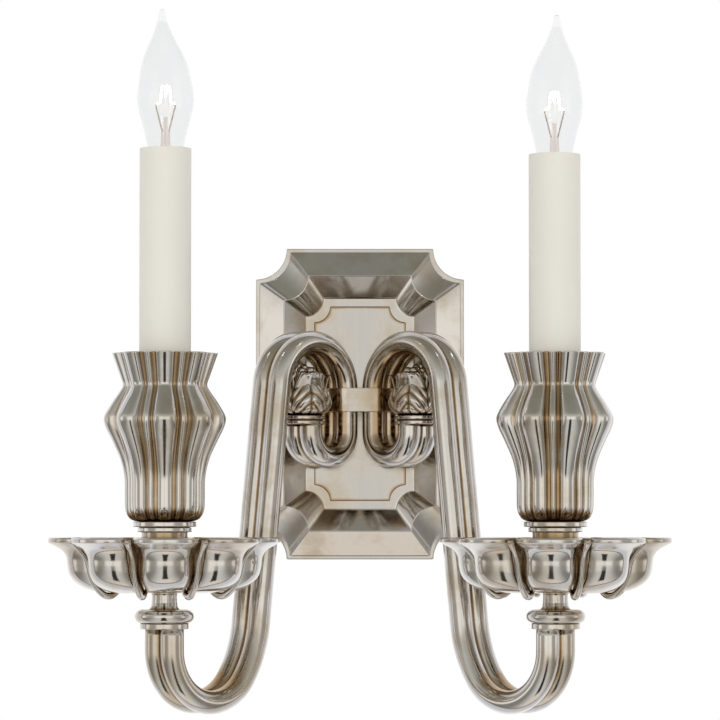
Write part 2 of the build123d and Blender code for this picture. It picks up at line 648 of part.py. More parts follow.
def threaded_rods():
    """Hollow rods that stand on the arms' tops and run up through each candle group."""
    rods = []
    for side in SIDES.values():
        rods.append(tube(ROD_R, ROD_BORE_R, ARM_TOP_Z, ROD_TOP_Z, side * CANDLE_X, CANDLE_Y))
    return Compound(children=rods)


def cup_nuts():
    nuts = []
    for side in SIDES.values():
        x = side * CANDLE_X
        nut = extrude(RegularPolygon(NUT_ACROSS / 2, 6, major_radius=False), NUT_HEIGHT)
        nut = Pos(x, CANDLE_Y, CUP_INSIDE_Z) * nut
        nuts.append(nut - cylinder(ROD_R, CUP_INSIDE_Z - 1, NUT_TOP_Z + 1, x, CANDLE_Y))
    return Compound(children=nuts)


# ---------------------------------------------------------------- socket, sleeve and lamp
def riser_tube(x, base):
    """Smooth tube that stands on the nut and carries the socket; its tip is threaded."""
    body = cylinder(RISER_R, NUT_TOP_Z, base, x, CANDLE_Y)
    body += cylinder(ROD_R, base, base + BRACKET_BASE, x, CANDLE_Y)
    body -= cylinder(ROD_R, NUT_TOP_Z - 1, ROD_TOP_Z, x, CANDLE_Y)
    return body - cylinder(ROD_BORE_R, NUT_TOP_Z - 1, base + BRACKET_BASE + 1, x, CANDLE_Y)


def socket_bracket(x, base):
    """Tapped foot with two ears that grip the socket."""
    foot = tube(BRACKET_R, ROD_R, base, base + BRACKET_BASE, x, CANDLE_Y)
    inner = SOCKET_R + SEAT_GAP
    ears = tube(inner + BRACKET_EAR_THICK, inner, base + BRACKET_BASE, base + BRACKET_EAR, x, CANDLE_Y)
    gap = block(4 * BRACKET_R, 2 * BRACKET_R - BRACKET_EAR_WIDTH, BRACKET_EAR, x, CANDLE_Y + BRACKET_R,
                base + BRACKET_BASE + BRACKET_EAR / 2)
    other = Pos(0, -2 * BRACKET_R, 0) * gap
    return foot + (ears - gap - other)


def socket_body(x, base):
    low = base + BRACKET_BASE
    high = base + BRACKET_BASE + SOCKET_HEIGHT
    body = cylinder(SOCKET_R, low, high) + cylinder(SOCKET_LIP_R, high - SOCKET_LIP, high)
    body -= cylinder(ROD_BORE_R, low - 1, high)
    body -= cylinder(SOCKET_BORE_R, high - SHELL_LENGTH - SOCKET_FLOOR, high + 1)
    return Pos(x, CANDLE_Y, 0) * body


def socket_shell(x, top):
    inner = SOCKET_BORE_R - SHELL_WALL
    return tube(SOCKET_BORE_R, inner, top - SHELL_LENGTH, top - SHELL_RECESS, x, CANDLE_Y)


def socket_contact(x, top):
    floor = top - SHELL_LENGTH - SOCKET_FLOOR
    strip = block(2 * ROD_BORE_R + CONTACT_STRIP_WIDTH, CONTACT_STRIP_WIDTH, CONTACT_STRIP, x, CANDLE_Y,
                  floor + CONTACT_STRIP / 2)
    return strip + cylinder(CONTACT_R, floor + CONTACT_STRIP, floor + CONTACT_HEIGHT, x, CANDLE_Y)


def sleeve(x, drop):
    low = CUP_INSIDE_Z + SLEEVE_SEAT_GAP
    return tube(SLEEVE_R, SLEEVE_R - SLEEVE_WALL, low, SLEEVE_TOP_Z - drop, x, CANDLE_Y)


def pip_foot(top):
    """Height of the lamp's lowest point, just above the centre contact."""
    return top - SHELL_LENGTH - SOCKET_FLOOR + CONTACT_HEIGHT + BASE_GAP


def lamp_cap(x, top):
    """Screw cap of the lamp, with a rim that rests above the socket."""
    low = pip_foot(top) + PIP_HEIGHT
    floor = low + INSULATOR_HEIGHT
    bore = CAP_R - BASE_WALL
    body = tube(CAP_R, bore, floor, low + BASE_LENGTH) + cylinder(CAP_R, floor, floor + CAP_FLOOR)
    body += tube(SOCKET_BORE_R, bore, top + CAP_RIM_GAP, low + BASE_LENGTH)
    return Pos(x, CANDLE_Y, 0) * body


def lamp_insulator(x, top):
    """Tapered ring of black glass between the cap and the pip."""
    low = pip_foot(top) + PIP_HEIGHT
    high = low + INSULATOR_HEIGHT
    ring = turned([(PIP_NECK_R, low), (PIP_R + INSULATOR_EDGE, low), (CAP_R - INSULATOR_EDGE, high),
                   (PIP_NECK_R, high)])
    return Pos(x, CANDLE_Y, 0) * ring


def lamp_pip(x, top):
    low = pip_foot(top)
    shoulder = low + PIP_HEIGHT
    pip = cylinder(PIP_R, low, shoulder) + cylinder(PIP_NECK_R, low, shoulder + INSULATOR_HEIGHT)
    return Pos(x, CANDLE_Y, 0) * pip


def glass_rows(foot):
    """(height, radius, sideways shift) of the flame-shaped glass, from its neck to its bent tip."""
    rows = [(0.0, NECK_R, 0.0), (3.2, NECK_R, 0.0), (6.2, 6.9, 0.0), (10.0, 8.3, 0.0), (17.0, 9.8, 0.0),
            (23.0, 11.1, 0.0), (29.5, 12.7, 0.0), (40.0, 15.2, 0.0), (44.0, 15.5, 0.0), (49.0, 15.1, 0.05),
            (61.0, 13.2, 0.25), (67.5, 11.2, 0.45), (74.5, 7.8, 0.65), (80.0, 5.2, 0.8),
            (86.0, 2.7, 0.95), (91.0, 1.2, 1.0), (94.0, 0.45, 1.05)]
    stretch = GLASS_LENGTH / rows[-1][0]
    return [(foot + height * stretch, radius, shift) for height, radius, shift in rows]


def lamp_glass(x, foot, tip_shift):
    outer = []
    inner = []
    for height, radius, shift in glass_rows(foot):
        place = Pos(shift * tip_shift, 0, height)
        outer.append(place * Circle(radius))
        if radius > 1.5 * GLASS_WALL:
            inner.append(place * Circle(radius - GLASS_WALL))
    body = loft(outer) - loft(inner)
    return Pos(x, CANDLE_Y, 0) * body


def lamp_stem(x, foot):
    """Pressed glass stem inside the lamp, with the post that stands on it."""
    stem_top = foot + STEM_HEIGHT
    flare = turned([(0, foot - GLASS_WALL), (NECK_R, foot - GLASS_WALL), (NECK_R, foot), (NECK_R - 1.4, foot),
                    (STEM_TOP_R + 0.6, foot + 5.0), (STEM_TOP_R, stem_top), (0, stem_top)])
    post = cylinder(POST_R, stem_top - 1.0, stem_top + POST_HEIGHT)
    return Pos(x, CANDLE_Y, 0) * (flare + post)


def lamp_supports(x, foot):
    """Two wires that rise apart from the stem and hold the filament's ends."""
    wires = []
    knee_z = foot + FILAMENT_FOOT - 1.5
    for hand in (-1, 1):
        start = Vector(hand * 1.7, 0, foot + STEM_HEIGHT - 0.5)
        knee = Vector(hand * FILAMENT_HALF, 0, knee_z)
        disc = Plane(origin=start, z_dir=knee - start) * Circle(SUPPORT_R)
        wire = sweep(disc, path=Line(start, knee)) + Pos(knee) * Sphere(SUPPORT_R)
        wire += cylinder(SUPPORT_R, knee_z, foot + FILAMENT_FOOT, knee.X)
        wires.append(Pos(x, CANDLE_Y, 0) * wire - lamp_stem(x, foot))
    return Compound(children=wires)


def lamp_filament(x, foot):
    """Filament strung over the supports in one tall loop."""
    low = foot + FILAMENT_FOOT
    half = FILAMENT_HALF
    arch = low + FILAMENT_LEG
    route = Wire([Line((-half, 0, low), (-half, 0, arch)),
                  ThreePointArc((-half, 0, arch), (0, 0, arch + half), (half, 0, arch)),
                  Line((half, 0, arch), (half, 0, low))])
    disc = Plane(origin=(-half, 0, low), z_dir=(0, 0, 1)) * Circle(FILAMENT_R)
    return Pos(x, CANDLE_Y, 0) * sweep(disc, path=route)


# ---------------------------------------------------------------- wiring
def terminal_block():
    body = block(BLOCK_LENGTH, BLOCK_THICK, BLOCK_HEIGHT, 0, -(PANEL_BACK - BLOCK_THICK / 2), LEAD_Z)
    for side in SIDES.values():
        centre = side * (BLOCK_LENGTH / 2)
        hole = Pos(centre, -LEAD_DEPTH, LEAD_Z) * Rot(0, 90, 0) * Cylinder(LEAD_R + ROD_GAP, 2 * BLOCK_ENTRY)
        body -= hole
    return body


def panel_bushes():
    """Flanged sleeves that protect the leads where they pass the panel."""
    bushes = []
    for side in SIDES.values():
        x = lead_point(side)[0]
        body = bar_along_y(BUSH_R, PANEL_BACK, PANEL_DEPTH, x, LEAD_Z)
        body += bar_along_y(BUSH_FLANGE_R, PANEL_BACK - BUSH_FLANGE, PANEL_BACK, x, LEAD_Z)
        bushes.append(body - bar_along_y(LEAD_R + BUSH_BORE_GAP, 0, PANEL_DEPTH + 1, x, LEAD_Z))
    return Compound(children=bushes)


def corner(start, knee, end, radius):
    """Quarter turn between two runs that meet square at the knee: run, arc."""
    into = (knee - start).normalized()
    out = (end - knee).normalized()
    first = knee - into * radius
    last = knee + out * radius
    centre = first + out * radius
    middle = centre + (into - out).normalized() * radius
    return [Line(start, first), ThreePointArc(first, middle, last)], last


def lead(side, base):
    """Two-core lead from the terminal block, through the rear tube, to the foot of the socket."""
    lead_x, lead_y = lead_point(side)
    plane = arm_plane(side, LEAD_OFFSET)
    start = Vector(side * (BLOCK_LENGTH / 2 - BLOCK_ENTRY + BLOCK_SEAT_GAP), -LEAD_DEPTH, LEAD_Z)
    turn = Vector(lead_x, -LEAD_DEPTH, LEAD_Z)
    foot = Vector(lead_x, lead_y, LEAD_Z)
    first, here = corner(start, turn, foot, LEAD_CORNER_R)
    second, here = corner(here, foot, Vector(lead_x, lead_y, ARCH_Z), LEAD_TURN_R)
    upright = [Line(here, plane.from_local_coords((0, ARCH_Z, 0)))]
    rest = [plane.from_local_coords(edge) for edge in front_route(base + 1.0)]
    path = Wire(first + second + upright + rest)
    disc = Plane(origin=start, z_dir=turn - start) * Circle(LEAD_R)
    return sweep(disc, path=path)


# ---------------------------------------------------------------- write every piece
save("backplate", backplate())
save("crossbar", crossbar())
save("side_screws", side_screws())
save("ground_screw", ground_screw())
save("arm_strap", strap())
save("arm_saddle", saddle())
save("saddle_screws", saddle_screws())
save("terminal_block", terminal_block())
save("panel_bushes", panel_bushes())
save("bud_studs", bud_studs())
save("threaded_rods", threaded_rods())
save("cup_nuts", cup_nuts())

for name, side in SIDES.items():
    axis_x = side * CANDLE_X
    drop = RIGHT_CANDLE_DROP if side > 0 else 0.0
    socket_base = SOCKET_BASE_Z - drop
    socket_top = socket_base + BRACKET_BASE + SOCKET_HEIGHT
    glass_foot = socket_top - GLASS_SINK
    save("arm_" + name, arm(side))
    save("bud_ring_" + name, bud_ring(side))
    save("bud_" + name, bud(side))
    save("collar_plate_" + name, collar_plate(axis_x))
    save("torus_collar_" + name, torus_collar(axis_x))
    save("dish_neck_" + name, dish_neck(axis_x))
    save("drip_dish_" + name, dish(axis_x))
    save("pedestal_" + name, pedestal(axis_x))
    save("cup_steps_" + name, cup_steps(axis_x))
    save("candle_cup_" + name, cup(axis_x))
    save("riser_tube_" + name, riser_tube(axis_x, socket_base))
    save("socket_bracket_" + name, socket_bracket(axis_x, socket_base))
    save("socket_body_" + name, socket_body(axis_x, socket_base))
    save("socket_shell_" + name, socket_shell(axis_x, socket_top))
    save("socket_contact_" + name, socket_contact(axis_x, socket_top))
    save("candle_sleeve_" + name, sleeve(axis_x, drop))
    save("lamp_cap_" + name, lamp_cap(axis_x, socket_top))
    save("lamp_insulator_" + name, lamp_insulator(axis_x, socket_top))
    save("lamp_pip_" + name, lamp_pip(axis_x, socket_top))
    save("lamp_glass_" + name, lamp_glass(axis_x, glass_foot, side * TIP_SHIFT[name]))
    save("lamp_stem_" + name, lamp_stem(axis_x, glass_foot))
    save("lamp_supports_" + name, lamp_supports(axis_x, glass_foot))
    save("lamp_filament_" + name, lamp_filament(axis_x, glass_foot))
    save("lead_" + name, lead(side, socket_base))
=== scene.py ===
"""Double arm wall sconce in burnished antique silver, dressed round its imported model."""

import json
import math

import bpy
from bpy.props import FloatProperty, FloatVectorProperty, IntProperty, PointerProperty
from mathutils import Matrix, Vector


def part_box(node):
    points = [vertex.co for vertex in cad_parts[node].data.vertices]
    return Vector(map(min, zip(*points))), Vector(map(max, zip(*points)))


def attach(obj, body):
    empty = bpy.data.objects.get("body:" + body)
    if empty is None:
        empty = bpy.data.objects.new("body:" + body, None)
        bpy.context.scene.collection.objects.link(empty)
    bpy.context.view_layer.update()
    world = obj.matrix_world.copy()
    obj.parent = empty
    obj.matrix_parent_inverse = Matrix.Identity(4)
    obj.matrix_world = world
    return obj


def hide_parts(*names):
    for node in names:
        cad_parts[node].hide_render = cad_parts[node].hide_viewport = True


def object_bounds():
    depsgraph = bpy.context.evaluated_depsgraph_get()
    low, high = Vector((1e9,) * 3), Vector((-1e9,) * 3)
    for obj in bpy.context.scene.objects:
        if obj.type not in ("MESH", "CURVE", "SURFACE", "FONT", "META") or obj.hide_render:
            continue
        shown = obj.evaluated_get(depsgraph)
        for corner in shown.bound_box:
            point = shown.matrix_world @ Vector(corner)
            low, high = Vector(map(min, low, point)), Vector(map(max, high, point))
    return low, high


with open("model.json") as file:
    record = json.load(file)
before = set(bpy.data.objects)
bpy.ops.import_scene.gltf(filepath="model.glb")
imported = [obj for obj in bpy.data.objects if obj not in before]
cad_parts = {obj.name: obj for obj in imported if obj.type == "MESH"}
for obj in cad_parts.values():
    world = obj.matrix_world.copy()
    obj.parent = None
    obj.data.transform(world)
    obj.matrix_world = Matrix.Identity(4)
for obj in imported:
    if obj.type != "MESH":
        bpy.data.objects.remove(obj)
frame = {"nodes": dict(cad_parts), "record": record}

bl_info = {
    "name": "Double arm wall sconce",
    "version": (1, 0, 0),
    "blender": (4, 5, 0),
    "location": "View3D > Sidebar > Sconce",
    "description": "Silver wall sconce with two candle arms, built piece by piece round its frame",
    "category": "Object",
}

CAD_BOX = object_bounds()
MM = 0.001
SIDES = {"left": -1, "right": 1}
RECESS = "recess"            # vertex attribute, 0 to 1: how deep a point lies in a groove, join or crease, and how far under a piece; the silver paints patina and painted shade with it


# ------------------------------------------------------------------ places read from the frame
def size(node):
    low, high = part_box(node)
    return high - low


def middle(node):
    low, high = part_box(node)
    return (low + high) / 2


def axis_of(side):
    """Upright axis of one candle, as x and y."""
    spot = middle("torus_collar_" + side)
    return spot.x, spot.y


def floor_of(node):
    """Height of a node's lowest point, in millimetres."""
    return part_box(node)[0].z / MM


def top_of(node):
    """Height of a node's highest point, in millimetres."""
    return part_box(node)[1].z / MM


def frame_body(node):
    """Body that a node rides on."""
    bodies = frame["record"]["behaviour"]["bodies"]
    return next(body for body, members in bodies.items() if node in members)


# ------------------------------------------------------------------ small sums
def held(value):
    """The value held between 0 and 1."""
    return min(1.0, max(0.0, value))


def fade(distance, reach):
    """1 at no distance, falling to 0 at the reach and beyond."""
    return max(0.0, 1.0 - distance / reach)


def circle(count):
    """Cosine and sine of evenly spaced angles round a full turn."""
    angles = [2 * math.pi * i / count for i in range(count)]
    return [(math.cos(angle), math.sin(angle)) for angle in angles]


# ------------------------------------------------------------------ sizes a user would change
class SconceSizes(bpy.types.PropertyGroup):
    corner_scoop: FloatProperty(
        name="Corner scoop", default=17.8 * MM, unit="LENGTH",
        description="Radius scooped out of each outer corner of the backplate")
    ridge_inset: FloatProperty(
        name="Ridge inset", default=16.5 * MM, unit="LENGTH",
        description="Distance from the backplate's edge to its raised ridge")
    tube_radius: FloatProperty(
        name="Tube radius", default=6.5 * MM, unit="LENGTH",
        description="Radius of each of the two tubes that make one arm")
    tube_spacing: FloatProperty(
        name="Tube spacing", default=12.6 * MM, unit="LENGTH",
        description="Distance between the axes of the two tubes of an arm")
    lobes: IntProperty(
        name="Lobes", default=8, min=4, max=16,
        description="Number of lobes round each dish and each cup")
    leaf_relief: FloatProperty(
        name="Leaf relief", default=1.5 * MM, unit="LENGTH",
        description="Height of the carving on the buds")


class SconceFinishes(bpy.types.PropertyGroup):
    silver: FloatVectorProperty(
        name="Silver", subtype="COLOR", size=3, default=(0.74, 0.72, 0.69), min=0, max=1,
        description="Colour of the burnished metal")
    # colour of the patina in the grooves, also used as painted shade at joins, in creases and under
    # pieces
    patina_and_shade: FloatVectorProperty(
        name="Patina", subtype="COLOR", size=3, default=(0.13, 0.075, 0.035), min=0, max=1,
        description="Colour of the dark toning left in the grooves")
    sleeve: FloatVectorProperty(
        name="Sleeve", subtype="COLOR", size=3, default=(0.755, 0.745, 0.695), min=0, max=1,
        description="Colour of the candle sleeves")
    glow: FloatProperty(
        name="Filament glow", default=14.0, min=0,
        description="Brightness of the filaments")


# ------------------------------------------------------------------ shader maths
class Wire:
    """A shader socket with arithmetic, so that shader maths reads as an expression."""

    def __init__(self, tree, socket):
        self.tree = tree
        self.socket = socket

    def _math(self, operation, *values):
        return self.tree.add("ShaderNodeMath", {"operation": operation}, dict(enumerate(values)))

    def __add__(self, other): return self._math("ADD", self, other)
    def __radd__(self, other): return self._math("ADD", other, self)
    def __sub__(self, other): return self._math("SUBTRACT", self, other)
    def __rsub__(self, other): return self._math("SUBTRACT", other, self)
    def __mul__(self, other): return self._math("MULTIPLY", self, other)
    def __rmul__(self, other): return self._math("MULTIPLY", other, self)
    def clamp(self): return self.tree.add("ShaderNodeClamp", {}, {"Value": self})


class Finish:
    """A new material with its Principled shader, and one method that adds any other node."""

    def __init__(self, name, **constants):
        self.material = bpy.data.materials.new(name)
        self.material.use_nodes = True
        self.nodes = self.material.node_tree.nodes
        self.links = self.material.node_tree.links
        self.shader = self.nodes["Principled BSDF"]
        for socket, value in constants.items():
            self.shader.inputs[socket.replace("_", " ")].default_value = value

    def add(self, kind, settings, values, output=0):
        node = self.nodes.new(kind)
        for name, value in settings.items():
            setattr(node, name, value)
        for name, value in values.items():
            socket = node.inputs[name]
            if isinstance(value, Wire):
                self.links.new(value.socket, socket)
            else:
                socket.default_value = value
        return Wire(self, node.outputs[output])

    def feed(self, socket, value):
        self.links.new(value.socket, self.shader.inputs[socket])

    def place(self):
        return self.add("ShaderNodeTexCoord", {}, {}, "Object")

    def noise(self, scale, detail=3.0, roughness=0.55, stretch=None):
        where = self.place()
        if stretch:
            where = self.add("ShaderNodeVectorMath", {"operation": "MULTIPLY"},
                             {0: where, 1: stretch})
        return self.add("ShaderNodeTexNoise", {},
                        {"Vector": where, "Scale": scale, "Detail": detail, "Roughness": roughness})

    def spread(self, value, low, high, to_low=0.0, to_high=1.0):
        return self.add("ShaderNodeMapRange", {"interpolation_type": "SMOOTHSTEP"},
                        {"Value": value, "From Min": low, "From Max": high,
                         "To Min": to_low, "To Max": to_high})

    def mix(self, share, first, second):
        """Colour mix; first and second are colours or wires."""
        values = {0: share, 6: first, 7: second}
        for index in (6, 7):
            if not isinstance(values[index], Wire):
                values[index] = (*values[index], 1.0)
        return self.add("ShaderNodeMix", {"data_type": "RGBA"}, values, 2)

    def paint(self, value, low, high, first, second):
        """Base colour that goes from the first to the second as the value goes from low to high."""
        self.feed("Base Color", self.mix(self.spread(value, low, high), first, second))

    def bump(self, height, strength):
        values = {"Height": height, "Strength": strength, "Distance": 0.1 * MM}
        self.feed("Normal", self.add("ShaderNodeBump", {}, values))


def antique_silver():
    """Burnished silver with brown patina and painted shade in the grooves, creases and joins, and a
    faint hand-worked unevenness.
    """
    looks = bpy.context.scene.sconce_finishes
    metal = Finish("antique_silver", Metallic=1.0)
    recess = metal.add("ShaderNodeAttribute", {"attribute_name": RECESS}, {}, "Fac")
    cloud = metal.noise(55.0, 4.0, 0.6)
    drift = metal.noise(14.0, 2.0, 0.5)
    # mask of brown patina plus painted shade, from the recess attribute broken up by noise
    patina_shade_mask = recess + (cloud - 0.5) * 0.55 + (drift - 0.5) * 0.35
    film = metal.spread(drift + (cloud - 0.5) * 0.7, 0.40, 0.68) * 0.75
    silver = tuple(looks.silver)
    warm = (silver[0] * 0.80, silver[1] * 0.72, silver[2] * 0.60)
    golden = (silver[0] * 0.62, silver[1] * 0.45, silver[2] * 0.27)
    tone = metal.mix(metal.spread(patina_shade_mask, 0.10, 0.62), metal.mix(film, silver, warm), golden)
    # the deepest part of the mask takes the patina colour: patina and painted shade
    patina_shade_mask = metal.spread(patina_shade_mask, 0.58, 1.05)
    metal.feed("Base Color", metal.mix(patina_shade_mask * 0.92, tone, tuple(looks.patina_and_shade)))
    scratch = metal.noise(420.0, 2.0, 0.6, (1.0, 1.0, 0.08))
    metal.feed("Roughness", 0.11 + film * 0.12 + patina_shade_mask * 0.32 + (scratch - 0.5) * 0.05)
    metal.bump(metal.noise(260.0, 2.0, 0.5) * 0.35 + drift * 1.4 + scratch * 0.05, 0.20)
    return metal.material


def zinc_steel():
    steel = Finish("zinc_steel", Metallic=1.0)
    grain = steel.noise(600.0, 3.0, 0.6)
    cloud = steel.noise(40.0, 3.0, 0.5)
    steel.paint(cloud, 0.35, 0.7, (0.60, 0.61, 0.62), (0.50, 0.50, 0.47))
    steel.feed("Roughness", 0.30 + grain * 0.12 + cloud * 0.1)
    steel.bump(grain, 0.12)
    return steel.material


def sleeve_plastic():
    looks = bpy.context.scene.sconce_finishes
    plastic = Finish("ivory_sleeve", Subsurface_Weight=0.06,
                     Subsurface_Radius=(0.004, 0.003, 0.002), Subsurface_Scale=1.0)
    cloud = plastic.noise(24.0, 3.0, 0.55, (1.0, 1.0, 0.35))
    grain = plastic.noise(900.0, 2.0, 0.5)
    plastic.paint(cloud, 0.3, 0.7, tuple(looks.sleeve), tuple(c * 0.965 for c in looks.sleeve))
    plastic.feed("Roughness", 0.46 + cloud * 0.06 + grain * 0.05)
    plastic.bump(grain * 0.5 + cloud, 0.05)
    return plastic.material


def moulded(name, colour, roughness):
    plastic = Finish(name)
    grain = plastic.noise(700.0, 3.0, 0.6)
    plastic.paint(grain, 0.35, 0.75, colour, tuple(c * 0.8 for c in colour))
    plastic.feed("Roughness", roughness + grain * 0.1)
    plastic.bump(grain, 0.1)
    return plastic.material


def plain_metal(name, colour, roughness):
    metal = Finish(name, Metallic=1.0)
    grain = metal.noise(500.0, 3.0, 0.6)
    cloud = metal.noise(90.0, 2.0, 0.5)
    metal.paint(cloud, 0.35, 0.75, colour, tuple(c * 0.72 for c in colour))
    metal.feed("Roughness", roughness + grain * 0.12)
    metal.bump(grain, 0.12)
    return metal.material


def clear_glass(name, tint, ior):
    glass = Finish(name, Transmission_Weight=1.0, IOR=ior, Roughness=0.0)
    streak = glass.noise(30.0, 2.0, 0.5, (1.0, 1.0, 0.2))
    glass.paint(streak, 0.35, 0.7, tint, tuple(c * 0.985 for c in tint))
    glass.bump(streak, 0.03)
    return glass.material


def lit_filament():
    looks = bpy.context.scene.sconce_finishes
    wire = Finish("glowing_filament", Base_Color=(1.0, 0.75, 0.45, 1.0), Roughness=0.5,
                  Emission_Strength=looks.glow)
    beat = wire.spread(wire.noise(300.0, 2.0, 0.5), 0.3, 0.7)
    wire.feed("Emission Color", wire.mix(beat, (1.0, 0.80, 0.50), (1.0, 0.68, 0.34)))
    return wire.material


# what each plain slot is made of, with its colour and its roughness, or a glass's index
PLAIN_SLOTS = {
    "green_screw": (plain_metal, (0.06, 0.30, 0.11), 0.35),
    "brass_shell": (plain_metal, (0.76, 0.58, 0.28), 0.28),
    "nickel_cap": (plain_metal, (0.66, 0.62, 0.55), 0.3),
    "solder_pip": (plain_metal, (0.55, 0.55, 0.53), 0.45),
    "support_wire": (plain_metal, (0.42, 0.38, 0.33), 0.35),
    "white_plastic": (moulded, (0.80, 0.80, 0.77), 0.45),
    "black_rubber": (moulded, (0.03, 0.03, 0.03), 0.6),
    "socket_plastic": (moulded, (0.045, 0.04, 0.036), 0.32),
    "black_glass": (moulded, (0.015, 0.015, 0.016), 0.1),
    "lead_sheath": (moulded, (0.74, 0.71, 0.62), 0.5),
    "clear_glass": (clear_glass, (0.932, 0.934, 0.938), 1.14),
    "stem_glass": (clear_glass, (0.80, 0.72, 0.66), 1.45),
}
OWN_SLOTS = {"antique_silver": antique_silver, "zinc_steel": zinc_steel,
             "ivory_sleeve": sleeve_plastic, "glowing_filament": lit_filament}
FINISHES = {}


def finish_for(slot):
    """The material of one slot of the record, made the first time that it is asked for."""
    if slot not in FINISHES:
        if slot in OWN_SLOTS:
            FINISHES[slot] = OWN_SLOTS[slot]()
        else:
            maker, colour, amount = PLAIN_SLOTS[slot]
            FINISHES[slot] = maker(slot, colour, amount)
    return FINISHES[slot]


# ------------------------------------------------------------------ mesh making
def solid(name, node, points, faces, recess=None, slot="antique_silver", alone=True):
    """A smooth-shaded piece that rides on a node's body and, where it is alone, stands for it."""
    mesh = bpy.data.meshes.new(name)
    mesh.from_pydata(points, [], faces)
    mesh.validate()
    mesh.polygons.foreach_set("use_smooth", [True] * len(mesh.polygons))
    depth = mesh.attributes.new(RECESS, "FLOAT", "POINT")
    if recess is not None:
        depth.data.foreach_set("value", recess)
    mesh.materials.append(finish_for(slot))
    piece = bpy.data.objects.new(name, mesh)
    bpy.context.scene.collection.objects.link(piece)
    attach(piece, frame_body(node))
    if alone:
        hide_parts(node)


def skin(rings, closed_rows=False, cap_first=False, cap_last=False):
    """Points and faces of a surface through rings of equal length, each ring a closed loop."""
    count = len(rings[0])
    points = [p for ring in rings for p in ring]
    faces = []
    rows = len(rings) if closed_rows else len(rings) - 1
    for row in range(rows):
        first = row * count
        second = ((row + 1) % len(rings)) * count
        for i in range(count):
            j = (i + 1) % count
            faces.append((first + i, first + j, second + j, second + i))
    if cap_first:
        faces.append(tuple(reversed(range(count))))
    if cap_last:
        faces.append(tuple(range((len(rings) - 1) * count, len(rings) * count)))
    return points, faces


def joined(skins):
    """Points and faces of several skins as one mesh."""
    points = []
    faces = []
    for more, sides in skins:
        start = len(points)
        points += more
        faces += [tuple(start + corner for corner in face) for face in sides]
    return points, faces


def eased(corners, radius, closed=False, steps=4):
    """A row of corner points with each corner turned into a short curve between two support points.

    A radius may be one number or one for each corner. Works in any number of dimensions."""
    corners = [Vector(c) for c in corners]
    count = len(corners)
    made = []
    for i, corner in enumerate(corners):
        if not closed and i in (0, count - 1):
            made.append(corner)
            continue
        before = corners[i - 1] - corner
        after = corners[(i + 1) % count] - corner
        wanted = radius[i] if isinstance(radius, (list, tuple)) else radius
        reach = min(wanted, before.length * 0.4, after.length * 0.4)
        if reach <= 0:
            made.append(corner)
            continue
        start = corner + before.normalized() * reach
        end = corner + after.normalized() * reach
        made.append(corner + before.normalized() * reach * 1.2)
        for step in range(steps + 1):
            t = step / steps
            made.append(start * (1 - t) ** 2 + corner * 2 * t * (1 - t) + end * t * t)
        made.append(corner + after.normalized() * reach * 1.2)
    return made


def flowing(stations, steps):
    """Smooth rows through the stations; a station given twice in a row makes a crease."""
    rows = []
    last = len(stations) - 1
    for i in range(last):
        a = stations[max(i - 1, 0)]
        b, c = stations[i], stations[i + 1]
        d = stations[min(i + 2, last)]
        if b == c:
            continue
        for step in range(steps):
            t = step / steps
            rows.append(tuple(
                0.5 * (2 * q + (r - p) * t + (2 * p - 5 * q + 4 * r - s) * t * t
                       + (3 * q - p - 3 * r + s) * t ** 3)
                for p, q, r, s in zip(a, b, c, d)))
    rows.append(tuple(stations[last]))
    return rows


def turned(name, node, corners, radius, centre, segments=96, groove=None, slot="antique_silver"):
    """Turned piece with a closed outline of (radius, height) corners in millimetres."""
    profile = eased(corners, radius, closed=True)
    rings = [[(centre[0] + r * MM * c, centre[1] + r * MM * s, z * MM) for c, s in circle(segments)]
             for r, z in profile]
    points, faces = skin(rings, closed_rows=True)
    recess = [groove(r, z) for r, z in profile for _ in range(segments)] if groove else None
    solid(name, node, points, faces, recess, slot)


# ------------------------------------------------------------------ backplate
def scooped_outline(half_w, half_h, scoop, bend=0.7, arc_steps=22, side_steps=6):
    """Closed outline in millimetres: straight sides and scooped corners, with softened points."""

    def on_scoop(index, degrees):
        """Point on the scoop of one corner, by its angle on the first corner's scoop."""
        across, up = ((1, 1), (-1, 1), (-1, -1), (1, -1))[index % 4]
        angle = math.radians(degrees + 90.0 * index)
        x, y = scoop * math.cos(angle), scoop * math.sin(angle)
        return Vector((across * half_w + x, up * half_h + y))

    loop = []
    bend_angle = math.degrees(bend / scoop)
    for index in range(4):
        first, last = on_scoop(index, 270.0), on_scoop(index, 180.0)
        arc = [on_scoop(index, 270.0 - bend_angle - (90.0 - 2 * bend_angle) * step / arc_steps)
               for step in range(arc_steps + 1)]
        before = first - (first - on_scoop(index - 1, 180.0)).normalized() * bend
        following = on_scoop(index + 1, 270.0)
        side = (following - last).normalized()
        after = last + side * bend
        loop += [before, before * 0.25 + first * 0.5 + arc[0] * 0.25]
        loop += arc
        loop += [arc[-1] * 0.25 + last * 0.5 + after * 0.25, after]
        length = (following - last).length - 2 * bend
        loop += [after + side * length * step / side_steps for step in range(1, side_steps)]
    return loop


PANEL_GROOVE = 34.1          # inset of the groove round the sunk panel, in millimetres
PANEL_FOOT = 29.0            # inset of the foot of the slope round it
PANEL_TOP = 11.2             # depth that only the slopes stand above


